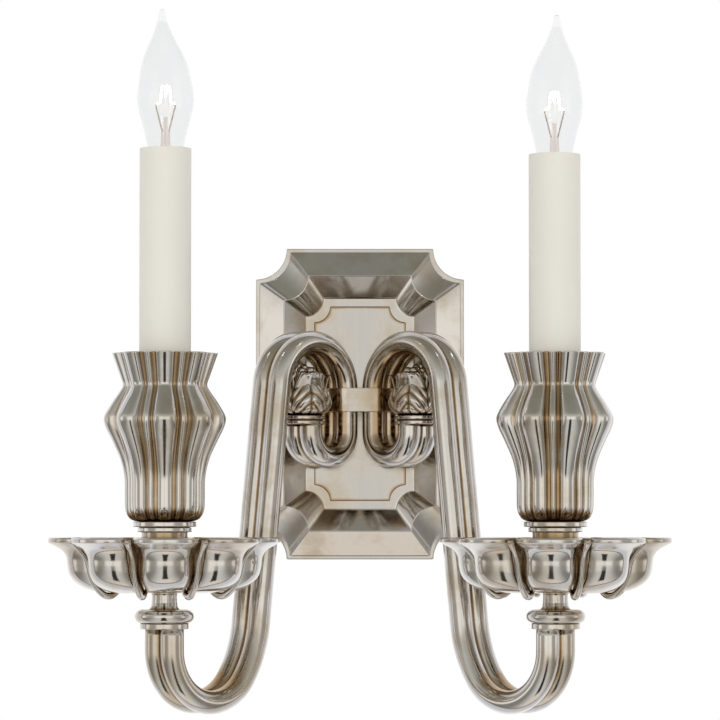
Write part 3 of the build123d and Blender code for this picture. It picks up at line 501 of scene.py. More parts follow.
def plate_rows():
    """(inset, scoop, depth) rows of the pressed plate, from the panel round to its back."""
    sizes = bpy.context.scene.sconce_sizes
    ridge = sizes.ridge_inset / MM
    rim_scoop = sizes.corner_scoop / MM
    front = [(36.0, 8.6, 10.0), (34.0, 9.1, 10.0), (34.0, 9.1, 10.9), (29.0, 10.4, 10.9),
             (ridge, 14.2, 20.0), (2.2, rim_scoop, 6.0), (0.0, rim_scoop, 6.0),
             (0.0, rim_scoop, 0.0)]
    back = [(2.5, rim_scoop, 0.0), (2.5, rim_scoop, 4.0), (4.2, rim_scoop, 4.2),
            (ridge + 0.45, 14.2, 17.2), (26.4, 10.4, 8.0), (30.0, 10.0, 8.0)]
    soft = [0, 0.25, 0.25, 0.7, 0.45, 0.35, 0.5, 0.2, 0.2, 0.2, 0.3, 0.6, 0.5, 0]
    return eased(front + back, soft)


def make_backplate():
    """Pressed plate as one closed shell, with patina and painted shade in the panel's groove, and
    painted shade at the foot of its slopes and over them.
    """
    half_w = size("backplate").x / 2 / MM
    half_h = size("backplate").z / 2 / MM
    rings = []
    recess = []
    for inset, scoop, depth in plate_rows():
        loop = scooped_outline(half_w - inset, half_h - inset, scoop)
        rings.append([(p.x * MM, -depth * MM, p.y * MM) for p in loop])
        on_panel = depth < PANEL_TOP
        # patina and painted shade in the groove round the panel; painted shade at the foot of the
        # slope and, fainter, over the inner slopes up to the ridge
        groove = fade(abs(inset - PANEL_GROOVE), 0.45) if on_panel else 0.0
        foot = fade(abs(inset - PANEL_FOOT), 0.8) * 0.35 if 10.5 < depth < 13 else 0.0
        slope = 0.22 if inset > 20 and not on_panel else 0.0
        recess += [max(groove, foot, slope)] * len(loop)
    points, faces = skin(rings, cap_first=True, cap_last=True)
    solid("plate_shell", "backplate", points, faces, recess)


# ------------------------------------------------------------------ arms
BACK_LEG = Vector((12.4, -22.0))      # middle of a back leg, right side, in millimetres
ARM_TURN = math.radians(45.0)         # arm plane from the wall
ARCH_REACH = 50.0                     # reach of the scroll and the arch, in millimetres


def arm_points():
    """(reach, height, heading) along the arm's middle, from under the bud to the candle's foot."""
    reach_end = (middle("torus_collar_right").x / MM - BACK_LEG.x) / math.cos(ARM_TURN)
    scroll, scroll_low = 14.2, 16.8       # radius of the scroll, and its middle's depth under z = 0
    arch, arch_start = 26.5, 7.3          # radius of the arch, and the height at which it starts
    lean, leg = 6.8, 136.0                # degrees that the front leg leans out, and its length
    knee, knee_turn = 66.4, 28.5          # radius and degrees of the slow bend under the leg
    foot = floor_of("bud_ring_right") + 5.0
    candle_foot = floor_of("collar_plate_right")
    rows = []

    def straight(start, heading, length, pieces):
        reach, rise = length * math.cos(heading), length * math.sin(heading)
        for i in range(pieces):
            rows.append((start[0] + reach * i / pieces, start[1] + rise * i / pieces, heading))
        return start[0] + reach, start[1] + rise

    def curve(start, heading, radius, turn, step_deg=3.0):
        bend = radius if turn > 0 else -radius
        centre = (start[0] - bend * math.sin(heading), start[1] + bend * math.cos(heading))
        pieces = max(4, int(abs(turn) / step_deg))
        for i in range(pieces + 1):
            a = heading + math.radians(turn) * i / pieces
            rows.append((centre[0] + bend * math.sin(a), centre[1] - bend * math.cos(a), a))
        *end, heading = rows.pop()
        return end, heading

    here = straight((2 * scroll, foot), -math.pi / 2, foot + scroll_low, 3)
    here, _ = curve(here, -math.pi / 2, scroll, -180.0, 4.0)
    here = straight(here, math.pi / 2, arch_start + scroll_low, 4)
    here, heading = curve(here, math.pi / 2, arch, -(180.0 - lean))
    here = straight(here, heading, leg, 14)
    here, heading = curve(here, heading, knee, knee_turn)
    hook = (reach_end - here[0]) / (1 - math.sin(heading))
    here, heading = curve(here, heading, hook, 90.0 - math.degrees(heading))
    straight(here, heading, candle_foot - here[1], 3)
    rows.append((reach_end, candle_foot, heading))
    return rows


def tube_pair_section():
    """(across, outward, recess) round the joined outline of two tubes side by side."""
    sizes = bpy.context.scene.sconce_sizes
    radius = sizes.tube_radius / MM
    half = sizes.tube_spacing / MM / 2
    seam = math.acos(min(1.0, half / radius))
    weld = seam + math.radians(11.0)
    start = math.pi - weld
    valley = radius * math.sin(weld) * 0.86
    steps = 40
    loop = []
    for hand in (1, -1):
        for i in range(steps + 1):
            angle = -start + 2 * start * i / steps
            across = half + radius * math.cos(angle)
            # patina and painted shade along the seam where the two tubes meet
            near_weld = fade(start - abs(angle), 0.32)
            loop.append((hand * across, hand * radius * math.sin(angle), near_weld * 0.9))
        loop.append((0.0, hand * valley, 1.0))
    return loop


def make_arm(side):
    """Two tubes as one bar, swept along the arm, with painted shade on the insides of its bends and
    patina and painted shade along the seam between the tubes.
    """
    hand = SIDES[side]
    out = Vector((hand * math.cos(ARM_TURN), -math.sin(ARM_TURN), 0))
    across = Vector((hand * math.sin(ARM_TURN), math.cos(ARM_TURN), 0))
    origin = Vector((hand * BACK_LEG.x, BACK_LEG.y, 0))
    section = tube_pair_section()
    tube = bpy.context.scene.sconce_sizes.tube_radius / MM
    rings = []
    recess = []
    for reach, height, heading in arm_points():
        here = origin + out * reach + Vector((0, 0, height))
        normal = out * -math.sin(heading) + Vector((0, 0, math.cos(heading)))
        # painted shade on the inside of each bend, kept with the seam's patina and painted shade
        inner = -1.0 if reach < ARCH_REACH else held((math.degrees(heading) + 80.0) / 40.0)
        rings.append([(here + across * a + normal * b) * MM for a, b, _ in section])
        recess += [max(depth, min(0.5, inner * b / tube - 0.25)) for _, b, depth in section]
    points, faces = skin(rings, cap_first=True, cap_last=True)
    solid("arm_tubes_" + side, "arm_" + side, points, faces, recess)


# ------------------------------------------------------------------ lobed dish and cup
DISH_TURN = {"left": 4.0, "right": -7.0}     # degrees that each dish is screwed round
CUP_TURN = {"left": 3.0, "right": 16.4}      # and each cup
DISH_RIB_HALF = 2.4                          # half the width of a dish's valley floor, in degrees
CUP_RIB_HALF = 5.2                           # half the width of a cup's rib, in degrees
FLOOR_TONE = 0.6                             # recess of a valley's floor, painted as patina and painted shade


def arched(start, top, end, steps, fullness):
    """Points of an arch over the line from start to end, without the last one.

    A fullness of 1 is an ellipse; less gives a flatter face and steeper sides."""
    foot = (Vector(start) + Vector(end)) / 2
    across, rise = Vector(start) - foot, Vector(top) - foot
    angles = [math.pi * i / steps for i in range(steps)]
    return [foot + across * math.cos(a) + rise * math.sin(a) ** fullness for a in angles]


def lobed_loop(lobe_r, groove_r, lobe_half, rib_r, rib_half, turn, fullness):
    """(x, y, recess) round a lobed outline in millimetres, with a rib in each valley."""
    lobe_steps, floor_steps, rib_steps = 32, 3, 10
    count = bpy.context.scene.sconce_sizes.lobes
    pitch = 360.0 / count
    floor = pitch / 2 - rib_half - lobe_half
    loop = []

    def at(radius, degrees):
        angle = math.radians(degrees + turn)
        return (radius * math.cos(angle), radius * math.sin(angle))

    def arch(mid, half, top_r, steps, bow, edge, top_tone):
        """An arch over the valley floor; its patina and painted shade grow from the edge share down
        to its feet.
        """
        start, end = at(groove_r, mid - half), at(groove_r, mid + half)
        for i, p in enumerate(arched(start, at(top_r, mid), end, steps, bow)):
            down = max(0.0, (abs(2 * i / steps - 1) - edge) / (1 - edge)) * FLOOR_TONE
            loop.append((p.x, p.y, down if top_r > groove_r else top_tone))

    def valley_floor(start):
        for i in range(floor_steps):
            loop.append((*at(groove_r, start + floor * i / floor_steps), FLOOR_TONE))

    for index in range(count):
        mid = index * pitch
        valley = mid + pitch / 2
        # lobes darken towards their feet, and the valleys and ribs hold patina and painted shade
        arch(mid, lobe_half, lobe_r, lobe_steps, fullness, 0.84, 0.0)
        valley_floor(mid + lobe_half)
        arch(valley, rib_half, rib_r, rib_steps, 0.8, 0.7, 0.85)
        valley_floor(valley + rib_half)
    return loop


def lobed_rings(rows, centre, rib_half, turn, fullness, shading):
    """Rings and recess from (height, lobe, groove, rib, half a lobe in degrees) rows."""
    rings = []
    recess = []
    for height, lobe_r, groove_r, rib_r, lobe_half in rows:
        loop = lobed_loop(lobe_r, groove_r, lobe_half, rib_r, rib_half, turn, fullness)
        rings.append([(centre[0] + x * MM, centre[1] + y * MM, height * MM) for x, y, _ in loop])
        relief = held((lobe_r - groove_r) / 2.4)
        # the height function adds painted shade to the patina and painted shade of the valleys
        recess += [min(1.0, deep * relief + shading(height)) for _, _, deep in loop]
    return rings, recess


def make_dish(side):
    """Fluted drip dish of round lobes with plain valleys, and the ribs in them."""
    node = "drip_dish_" + side
    centre = axis_of(side)
    foot = floor_of(node)
    # height above the foot, radius over a lobe and in a groove, half a lobe in degrees
    outside = [(0.0, 5.0, 5.0, 19.6), (0.0, 27.0, 22.0, 19.6), (0.1, 33.0, 26.6, 19.6),
               (0.9, 39.0, 31.0, 19.6), (2.8, 44.4, 35.2, 19.6), (6.0, 49.2, 38.8, 19.6),
               (10.0, 52.0, 40.8, 19.6), (14.6, 53.0, 41.4, 19.6), (19.4, 53.6, 42.0, 19.6),
               (23.0, 56.0, 44.8, 19.6), (25.6, 60.2, 49.0, 19.8), (27.2, 63.2, 51.6, 20.0),
               (27.9, 63.5, 52.2, 20.0), (29.2, 63.5, 52.2, 20.0), (29.9, 63.0, 51.6, 19.9)]
    inside = [(29.6, 61.6, 50.4, 19.0), (27.0, 58.6, 47.6, 18.0), (23.0, 53.2, 43.0, 16.8),
              (14.6, 50.6, 39.0, 15.8), (8.0, 47.4, 36.8, 15.8), (4.2, 41.0, 32.6, 15.8),
              (3.0, 35.0, 28.4, 15.8), (3.0, 5.0, 5.0, 15.8)]
    rows = [(foot + h, lobe_r, groove_r, groove_r, half)
            for h, lobe_r, groove_r, half in flowing(outside, 5) + flowing(inside, 4)]
    rings, recess = lobed_rings(rows, centre, DISH_RIB_HALF, DISH_TURN[side], 1.0, lambda z: 0.0)
    points, faces = skin(rings, closed_rows=True)
    solid("fluted_dish_" + side, node, points, faces, recess)
    make_dish_ribs(side, foot)


def make_dish_ribs(side, foot):
    """Slim round ribs: a bead under the rim, down the valley and curling in under the dish."""
    count = bpy.context.scene.sconce_sizes.lobes
    # radius from the axis, height above the foot, half the rib's thickness
    path = [(54.6, 28.4, 0.8), (54.0, 28.0, 2.0), (52.4, 26.0, 1.8), (49.6, 22.8, 1.3),
            (46.8, 19.2, 1.3), (45.2, 15.0, 1.4), (44.2, 10.5, 1.4), (42.2, 5.6, 1.5),
            (38.9, 1.4, 1.7), (35.2, -1.3, 1.9), (31.6, -1.6, 1.9), (28.6, -0.2, 1.3),
            (27.0, 1.2, 0.8)]
    rows = flowing(path, 4)
    foot_point = Vector((*axis_of(side), foot * MM))
    ribs = []
    recess = []
    for index in range(count):
        angle = math.radians(DISH_TURN[side] + 360.0 / count * (index + 0.5))
        out = Vector((math.cos(angle), math.sin(angle), 0.0))
        across = Vector((-out.y, out.x, 0.0))
        rings = []
        for i, (r, z, thick) in enumerate(rows):
            before, after = rows[max(i - 1, 0)], rows[min(i + 1, len(rows) - 1)]
            slope = Vector((after[0] - before[0], after[1] - before[1])).normalized()
            normal = out * slope.y - Vector((0, 0, slope.x))
            spot = foot_point + (out * r + Vector((0, 0, z))) * MM
            rings.append([spot + (across * c + normal * s) * thick * MM for c, s in circle(14)])
            # patina and painted shade on the side of each rib that faces the dish
            recess += [max(0.0, s) * 0.9 for _, s in circle(14)]
        ribs.append(skin(rings, cap_first=True, cap_last=True))
    solid("dish_ribs_" + side, "drip_dish_" + side, *joined(ribs), recess, alone=False)


def make_cup(side):
    """Fluted candle cup with a nipped waist and a rib in each valley."""
    node = "candle_cup_" + side
    centre = axis_of(side)
    foot = floor_of(node)
    # height above the foot, radii over a lobe, in a groove and over a rib, half a lobe in degrees
    lower = [(0.0, 5.0, 5.0, 5.0, 12.8), (0.0, 13.0, 12.4, 12.8, 12.8),
             (0.5, 16.8, 14.9, 16.2, 12.8), (2.4, 19.8, 16.8, 18.8, 12.8),
             (6.6, 21.7, 17.8, 20.7, 12.8), (14.0, 22.0, 18.0, 21.0, 12.8),
             (24.0, 22.2, 18.0, 21.0, 12.8), (34.0, 24.4, 19.4, 22.4, 13.6),
             (44.0, 28.8, 22.6, 25.4, 14.4), (50.0, 31.8, 24.8, 27.5, 14.8),
             (54.0, 33.2, 25.8, 28.5, 14.8), (57.0, 33.4, 26.0, 28.6, 14.8),
             (60.0, 32.2, 25.2, 27.8, 14.6), (66.0, 28.6, 22.8, 25.2, 13.8),
             (71.0, 25.1, 20.6, 22.8, 12.8), (74.0, 23.3, 19.4, 21.8, 12.4)]
    upper = [(75.6, 23.2, 19.4, 21.9, 12.4), (84.0, 26.2, 21.6, 24.3, 12.4),
             (91.6, 28.9, 23.9, 26.6, 12.4)]
    rim = [(92.2, 29.1, 24.1, 26.8, 12.4), (92.4, 28.7, 23.9, 26.5, 12.3),
           (92.2, 28.1, 23.5, 25.9, 12.2)]
    outside = flowing(lower, 5) + flowing(upper, 4) + rim
    inside = [(84.0, 22.6, 19.6, 19.6, 9.0)]
    inside += [(h, b - 1.6, b - 2.0, b - 2.0, 9.0) for h, _, b, _, _ in reversed(lower[5:])]
    inside += [(h, r, r, r, 9.0) for h, r in ((4.0, 15.6), (3.0, 14.4), (3.0, 5.0))]
    rows = [(foot + h, a, b, c, d) for h, a, b, c, d in outside + flowing(inside, 3)]
    # painted shade over the cup's lowest 8 mm, just above the dish
    rings, recess = lobed_rings(rows, centre, CUP_RIB_HALF, CUP_TURN[side], 0.5,
                                lambda z: fade(z - foot, 8.0) * 1.1)
    points, faces = skin(rings, closed_rows=True)
    solid("fluted_cup_" + side, node, points, faces, recess)


# ------------------------------------------------------------------ turned silver pieces
def make_turned_group(side):
    """The plain round pieces on one candle's rod, from the arm up to the cup."""
    centre = axis_of(side)
    bore = 4.9                            # hole for the threaded rod

    def piece(name, node, corners, radius, groove):
        turned(f"{name}_{side}", f"{node}_{side}", corners, radius, centre, groove=groove)

    low = floor_of("collar_plate_" + side)
    high = top_of("collar_plate_" + side)
    disc = [(bore, low), (13.35, low), (13.35, high), (bore, high)]
    # painted shade on the disc's outer top edge, under the round collar
    piece("collar_disc", "collar_plate", disc, 0.5,
          lambda r, z: 0.6 if r > 12 and z > high - 0.4 else 0.1)
    low, high = high, top_of("torus_collar_" + side)
    half = (high - low) / 2
    round_edge = [(16.2 - half + half * math.cos(a), low + half + half * math.sin(a))
                  for a in [math.radians(-90 + 180 * i / 14) for i in range(15)]]
    # painted shade on the collar's top round the stem and on its underside over the disc
    piece("round_collar", "torus_collar", [(bore, low)] + round_edge + [(bore, high)], 0,
          lambda r, z: fade(r - 8.0, 4.0) if z > low + half else 0.3 * (r < 13.4))
    low, high = high, top_of("dish_neck_" + side)
    flare = [(8.3, low), (7.4, low + 1.6), (7.05, low + 3.6), (6.9, low + 6.0), (6.9, low + 8.0),
             (7.5, high)]
    # painted shade at both ends of the stem, where it meets the collar and the dish
    piece("dish_stem", "dish_neck", [(bore, low)] + flare + [(bore, high)], 0.3,
          lambda r, z: 0.9 * fade(z - low, 1.5) + 0.9 * fade(high - z, 2.0))
    low, high = floor_of("pedestal_" + side), top_of("pedestal_" + side)
    # painted shade at both ends of the post, where it meets the pieces above and below
    piece("cup_post", "pedestal", [(bore, low), (12.7, low), (12.7, high), (bore, high)], 0.3,
          lambda r, z: 0.75 * fade(high - z, 1.2) + 0.5 * fade(z - low, 3.0))
    low, high = high, top_of("cup_steps_" + side)
    steps = [(bore, low), (14.9, low), (14.9, low + 2.4), (14.0, low + 2.4), (14.0, low + 2.8),
             (17.4, low + 2.8), (17.4, high), (bore, high)]
    # patina and painted shade in the rings' small groove, painted shade at their top under the cup
    piece("cup_rings", "cup_steps", steps, [0, .5, .5, .1, .1, .5, .6, 0],
          lambda r, z: 1.0 if r < 14.6 and z > low + 1 else 0.9 * fade(high - z, 0.8))


# ------------------------------------------------------------------ buds
def make_bud_ring(side):
    """Grooved ring between a bud and the end of its arm."""
    node = "bud_ring_" + side
    spot = middle("bud_" + side)
    low = floor_of(node) + 5.0
    high = top_of(node)
    mid = (low + high) / 2
    corners = [(2.5, low), (12.4, low), (12.4, mid - 0.45), (11.4, mid - 0.45), (11.4, mid + 0.45),
               (12.4, mid + 0.45), (12.4, high), (2.5, high)]
    # patina and painted shade in the ring's groove
    turned("bud_collar_" + side, node, corners, [0, .7, .7, .15, .15, .7, .7, 0], (spot.x, spot.y),
           groove=lambda r, z: 1.0 if r < 12.1 else 0.15)


def leaf_height(across, up):
    """Carving of one leaf: stacked lobes that fall away from a centre line, 0 in a groove to 1."""
    side = abs(across)
    fold = up + 0.42 * side ** 1.5
    band = (fold * 4.6) % 1.0
    lobe = math.sin(math.pi * min(1.0, band * 1.06)) ** 0.55 * (0.55 + 0.45 * band)
    spine = min(1.0, side / 0.10)
    margin = held((1.0 - side) / 0.10)
    return lobe * spine * (0.35 + 0.65 * margin)


def make_bud(side):
    """Leafy bud: four carved leaves whose tips turn outwards round a cluster of berries."""
    node = "bud_" + side
    spot = middle(node)
    foot = floor_of(node)
    tall = size(node).z / MM
    relief = bpy.context.scene.sconce_sizes.leaf_relief / MM
    twist = math.radians(20.0) * -SIDES[side]
    segments = 240
    # share of the bud's height, radius over the middle of a leaf and over a seam between two
    shape = [(0.0, 9.6, 9.2), (0.04, 12.6, 12.0), (0.12, 15.2, 14.2), (0.26, 16.4, 15.2),
             (0.42, 15.4, 13.8), (0.58, 13.2, 11.0), (0.70, 12.6, 9.4), (0.80, 12.4, 8.4),
             (0.84, 10.0, 7.4)]
    rings = []
    recess = []
    for share, leaf_r, seam_r in flowing(shape, 10):
        ring = []
        for i, (c, s) in enumerate(circle(segments)):
            angle = 2 * math.pi * i / segments
            local = ((angle - twist + math.pi / 4) % (math.pi / 2) - math.pi / 4) / (math.pi / 4)
            carve = leaf_height(local, share)
            radius = seam_r + (leaf_r - seam_r) * math.cos(local * math.pi / 2)
            radius += relief * (carve - 0.5) * min(1.0, share / 0.05)
            ring.append((spot.x + radius * MM * c, spot.y + radius * MM * s,
                         (foot + share * tall) * MM))
            # patina and painted shade in the hollows of the carving
            recess.append(1.0 - min(1.0, carve * 1.5))
        rings.append(ring)
    points, faces = skin(rings, cap_first=True, cap_last=True)
    solid("leaf_bud_" + side, node, points, faces, recess)
    make_leaf_tips(side, spot, foot, tall, twist)
    make_berries(side, spot, foot, tall)


def make_leaf_tips(side, spot, foot, tall, twist):
    """Four tips that curl outwards from the tops of the leaves."""
    # distance from the bud's axis, share of its height, half the tip's width
    spine = [(11.4, 0.52, 8.6), (12.4, 0.62, 7.6), (13.4, 0.71, 6.2), (14.9, 0.77, 4.6),
             (16.2, 0.79, 3.0), (16.6, 0.765, 1.4)]
    for index in range(4):
        angle = twist + index * math.pi / 2
        out = Vector((math.cos(angle), math.sin(angle), 0))
        across = Vector((-math.sin(angle), math.cos(angle), 0))
        rings = []
        recess = []
        for reach, share, half in flowing(spine, 4):
            ring = []
            for wide, thick in circle(28):
                wave = math.cos(wide * math.pi * 2.0)
                lift = 0.9 * thick + 0.35 * wave * (thick > 0) - 0.12 * half * wide * wide
                here = out * (reach + lift * 0.9) + across * (wide * half)
                ring.append((spot.x + here.x * MM, spot.y + here.y * MM,
                             (foot + share * tall + lift * 0.2) * MM))
                # patina and painted shade in the tip's ripples, painted shade on its underside
                recess.append(0.175 * (1 - wave) + (0.5 if thick < -0.2 else 0.0))
            rings.append(ring)
        points, faces = skin(rings, cap_first=True, cap_last=True)
        solid(f"leaf_tip_{side}_{index + 1}", "bud_" + side, points, faces, recess, alone=False)


def make_berries(side, spot, foot, tall):
    """Cluster of small round berries between the leaf tips."""
    berry = 2.9
    rows = 12
    places = [(0.0, 0.0, tall - berry - 0.1)]
    places += [(5.2 * math.cos(a), 5.2 * math.sin(a), tall - berry - 2.0)
               for a in [math.radians(60 * i + 15) for i in range(6)]]
    places += [(8.0 * c, 8.0 * s, tall - berry - 5.0) for c, s in circle(8)]
    berries = []
    recess = []
    for x, y, z in places:
        rings = []
        for row in range(1, rows):
            lift = math.pi * row / rows - math.pi / 2
            radius = berry * math.cos(lift)
            rings.append([(spot.x + (x + radius * c) * MM, spot.y + (y + radius * s) * MM,
                           (foot + z + berry * math.sin(lift)) * MM) for c, s in circle(20)])
            # painted shade on the lower half of each berry
            recess += [max(0.0, 0.8 - 1.1 * (math.sin(lift) + 0.4))] * 20
        berries.append(skin(rings, cap_first=True, cap_last=True))
    solid("berries_" + side, "bud_" + side, *joined(berries), recess, alone=False)


# ------------------------------------------------------------------ strap between the arms
def clasp_loop(margin, panel):
    """Plan outline in millimetres round the four back tubes, ending at the panel's y."""
    sizes = bpy.context.scene.sconce_sizes
    half = sizes.tube_spacing / MM / 2 * math.sin(ARM_TURN)
    radius = sizes.tube_radius / MM + margin
    front = Vector((BACK_LEG.x - half, BACK_LEG.y - half))
    rear = Vector((BACK_LEG.x + half, BACK_LEG.y + half))
    right = [Vector((x, front.y - radius)) for x in (0.0, front.x * 0.5, front.x * 0.9)]
    for tube, start in ((front, -90.0), (rear, -45.0)):
        for i in range(9):
            angle = math.radians(start + 45.0 * i / 8)
            right.append(tube + Vector((math.cos(angle), math.sin(angle))) * radius)
    right += [Vector((rear.x + radius, rear.y + (panel - rear.y) * t)) for t in (0.5, 1.0)]
    left = [Vector((-p.x, p.y)) for p in reversed(right)]
    return left[:-1] + right


def make_strap():
    """Flat strap round the back legs of both arms, with patina and painted shade on its inner face
    and towards its ends.
    """
    low, high = floor_of("arm_strap"), top_of("arm_strap")
    panel = -10.0
    outer = clasp_loop(2.0, panel)
    inner = clasp_loop(0.05, panel)
    corners = [(0.0, low), (1.0, low), (1.0, high), (0.0, high)]
    rows = eased(corners, [0.2, 0.3, 0.3, 0.2], closed=True)
    count = len(outer)
    points = []
    faces = []
    for share, z in rows:
        points += [(*(a + (b - a) * share) * MM, z * MM) for a, b in zip(inner, outer)]
    for row in range(len(rows)):
        first, second = row * count, (row + 1) % len(rows) * count
        for i in range(count - 1):
            faces.append((first + i, first + i + 1, second + i + 1, second + i))
    faces.append(tuple(row * count for row in range(len(rows))))
    faces.append(tuple(reversed([row * count + count - 1 for row in range(len(rows))])))
    # patina and painted shade on the inner face against the tubes, growing towards the ends
    recess = [0.35 if share < 0.5 else 0.1 + 0.45 * min(1.0, abs(outer[i].x) / 12.0) ** 2
              for share, _ in rows for i in range(count)]
    solid("clasp_strap", "arm_strap", points, faces, recess)


# ------------------------------------------------------------------ candles and lamps
def make_sleeve(side):
    """Plain tube that stands for the candle."""
    node = "candle_sleeve_" + side
    low, high = floor_of(node), top_of(node)
    bore, radius = 12.9, 14.2
    corners = [(bore, low), (radius, low), (radius, (low + high) / 2), (radius, high), (bore, high)]
    turned("sleeve_" + side, node, corners, [0.3, 0.3, 0, 0.45, 0.3], axis_of(side), 112,
           slot="ivory_sleeve")


GLASS_WALL = 0.6             # in millimetres, as are the next two
SOLID_TIP = 2.4              # radius below which the glass has no bore
LAMP_LEAN = {"left": -2.1, "right": 1.4}     # how far each tip leans sideways


def glass_rows():
    """(height, radius, sideways shift) of the flame-shaped glass above its foot."""
    stations = [(0.0, 5.1, 0.0), (3.2, 5.1, 0.0), (6.2, 6.9, 0.0), (10.0, 8.3, 0.0),
                (17.0, 9.8, 0.0), (23.0, 11.1, 0.0), (29.5, 12.7, 0.0), (36.0, 14.5, 0.0),
                (41.0, 15.35, 0.0), (45.0, 15.5, 0.02), (49.0, 15.15, 0.05), (61.0, 13.2, 0.25),
                (67.5, 11.2, 0.45), (74.5, 7.9, 0.65), (80.0, 5.3, 0.8), (86.0, 2.9, 0.95),
                (90.5, 1.9, 1.0)]
    return flowing(stations, 5)


def make_glass(side):
    """Flame-shaped glass with its bore, open at the foot and drawn out to a leaning tip."""
    node = "lamp_glass_" + side
    x, y = axis_of(side)
    foot = floor_of(node)
    lean = LAMP_LEAN[side]
    count = 72

    def rings(rows):
        return [[(x + (lean * shift + radius * c) * MM, y + radius * s * MM, (foot + height) * MM)
                 for c, s in circle(count)] for height, radius, shift in rows]

    outside = glass_rows()
    height, radius, shift = outside[-1]
    tip = [(height + 3.4 * math.sin(a), radius * math.cos(a), shift)
           for a in [math.radians(15 * i) for i in range(1, 6)]]
    bore = [(h, max(r - GLASS_WALL, 0.2), s) for h, r, s in reversed(outside) if r > SOLID_TIP]
    shell = skin(rings(outside + tip), cap_last=True)
    points, faces = joined([shell, skin(rings(bore), cap_first=True)])
    last = len(points) - count
    faces += [(i, last + i, last + (i + 1) % count, (i + 1) % count) for i in range(count)]
    solid("flame_glass_" + side, node, points, faces, slot="clear_glass")


def make_filament(side):
    """Zigzag filament strung between the two support wires and a middle hook."""
    node = "lamp_filament_" + side
    low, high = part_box(node)
    centre = (low + high) / 2
    radius = 0.42 * MM
    half = (high.x - low.x) / 2 - radius * 1.2
    tall = high.z - low.z - radius * 2
    corners = [(-1.0, 0.0), (-0.55, 0.06), (-0.42, 0.95), (-0.08, 0.98), (0.0, 0.35), (0.08, 0.98),
               (0.42, 0.95), (0.55, 0.06), (1.0, 0.0)]
    path = [Vector((centre.x + x * half, centre.y, low.z + radius + z * tall)) for x, z in
            eased(corners, 0.12, steps=5)]
    rings = []
    for i, p in enumerate(path):
        ahead = path[min(i + 1, len(path) - 1)] - path[max(i - 1, 0)]
        along = ahead.normalized()
        depth = Vector((0, 1, 0))
        other = along.cross(depth).normalized()
        rings.append([p + (depth * c + other * s) * radius for c, s in circle(10)])
    points, faces = skin(rings, cap_first=True, cap_last=True)
    solid("filament_" + side, node, points, faces, slot="glowing_filament")


# ------------------------------------------------------------------ CAD nodes that stay
def dress_frame():
    """Every node gets the finish of its slot, for those that stay visible."""
    slots = {s["node"]: s["material_slot"] for s in frame["record"]["subparts"]}
    for name, node in frame["nodes"].items():
        node.data.materials.clear()
        node.data.materials.append(finish_for(slots[name]))


# ------------------------------------------------------------------ stage
CAMERA_DISTANCE = 2.1        # from the wall, in metres
CAMERA_HEIGHT = -0.0643      # against the middle of the backplate, in metres
CAMERA_TILT = math.radians(2.454)
FOCAL_LENGTH = 180.85        # in millimetres, on a sensor 36 mm wide
LAMP_AIM = Vector((0.0, -0.1, 0.0))
LAMP_COLOUR = (1.0, 0.97, 0.93)


def make_camera():
    data = bpy.data.cameras.new("view")
    data.lens = FOCAL_LENGTH
    data.sensor_width = 36.0
    data.clip_end = 30.0
    camera = bpy.data.objects.new("view", data)
    camera.location = (0.0, -CAMERA_DISTANCE, CAMERA_HEIGHT)
    camera.rotation_euler = (math.pi / 2 + CAMERA_TILT, 0.0, 0.0)
    bpy.context.scene.collection.objects.link(camera)
    bpy.context.scene.camera = camera


def soft_box(name, place, width, height, power):
    """A large lamp aimed at the middle of the sconce, unseen in the metal."""
    data = bpy.data.lights.new(name, "AREA")
    data.shape = "RECTANGLE"
    data.size = width
    data.size_y = height
    data.energy = power
    data.color = LAMP_COLOUR
    lamp = bpy.data.objects.new(name, data)
    lamp.location = place
    direction = LAMP_AIM - Vector(place)
    lamp.rotation_euler = direction.to_track_quat("-Z", "Y").to_euler()
    lamp.visible_glossy = False
    bpy.context.scene.collection.objects.link(lamp)


class Surround(Finish):
    """The world's shader, with the same way of adding nodes as a finish."""

    def __init__(self, name):
        world = bpy.data.worlds.new(name)
        bpy.context.scene.world = world
        world.use_nodes = True
        self.nodes = world.node_tree.nodes
        self.links = world.node_tree.links
        self.shader = self.nodes["Background"]


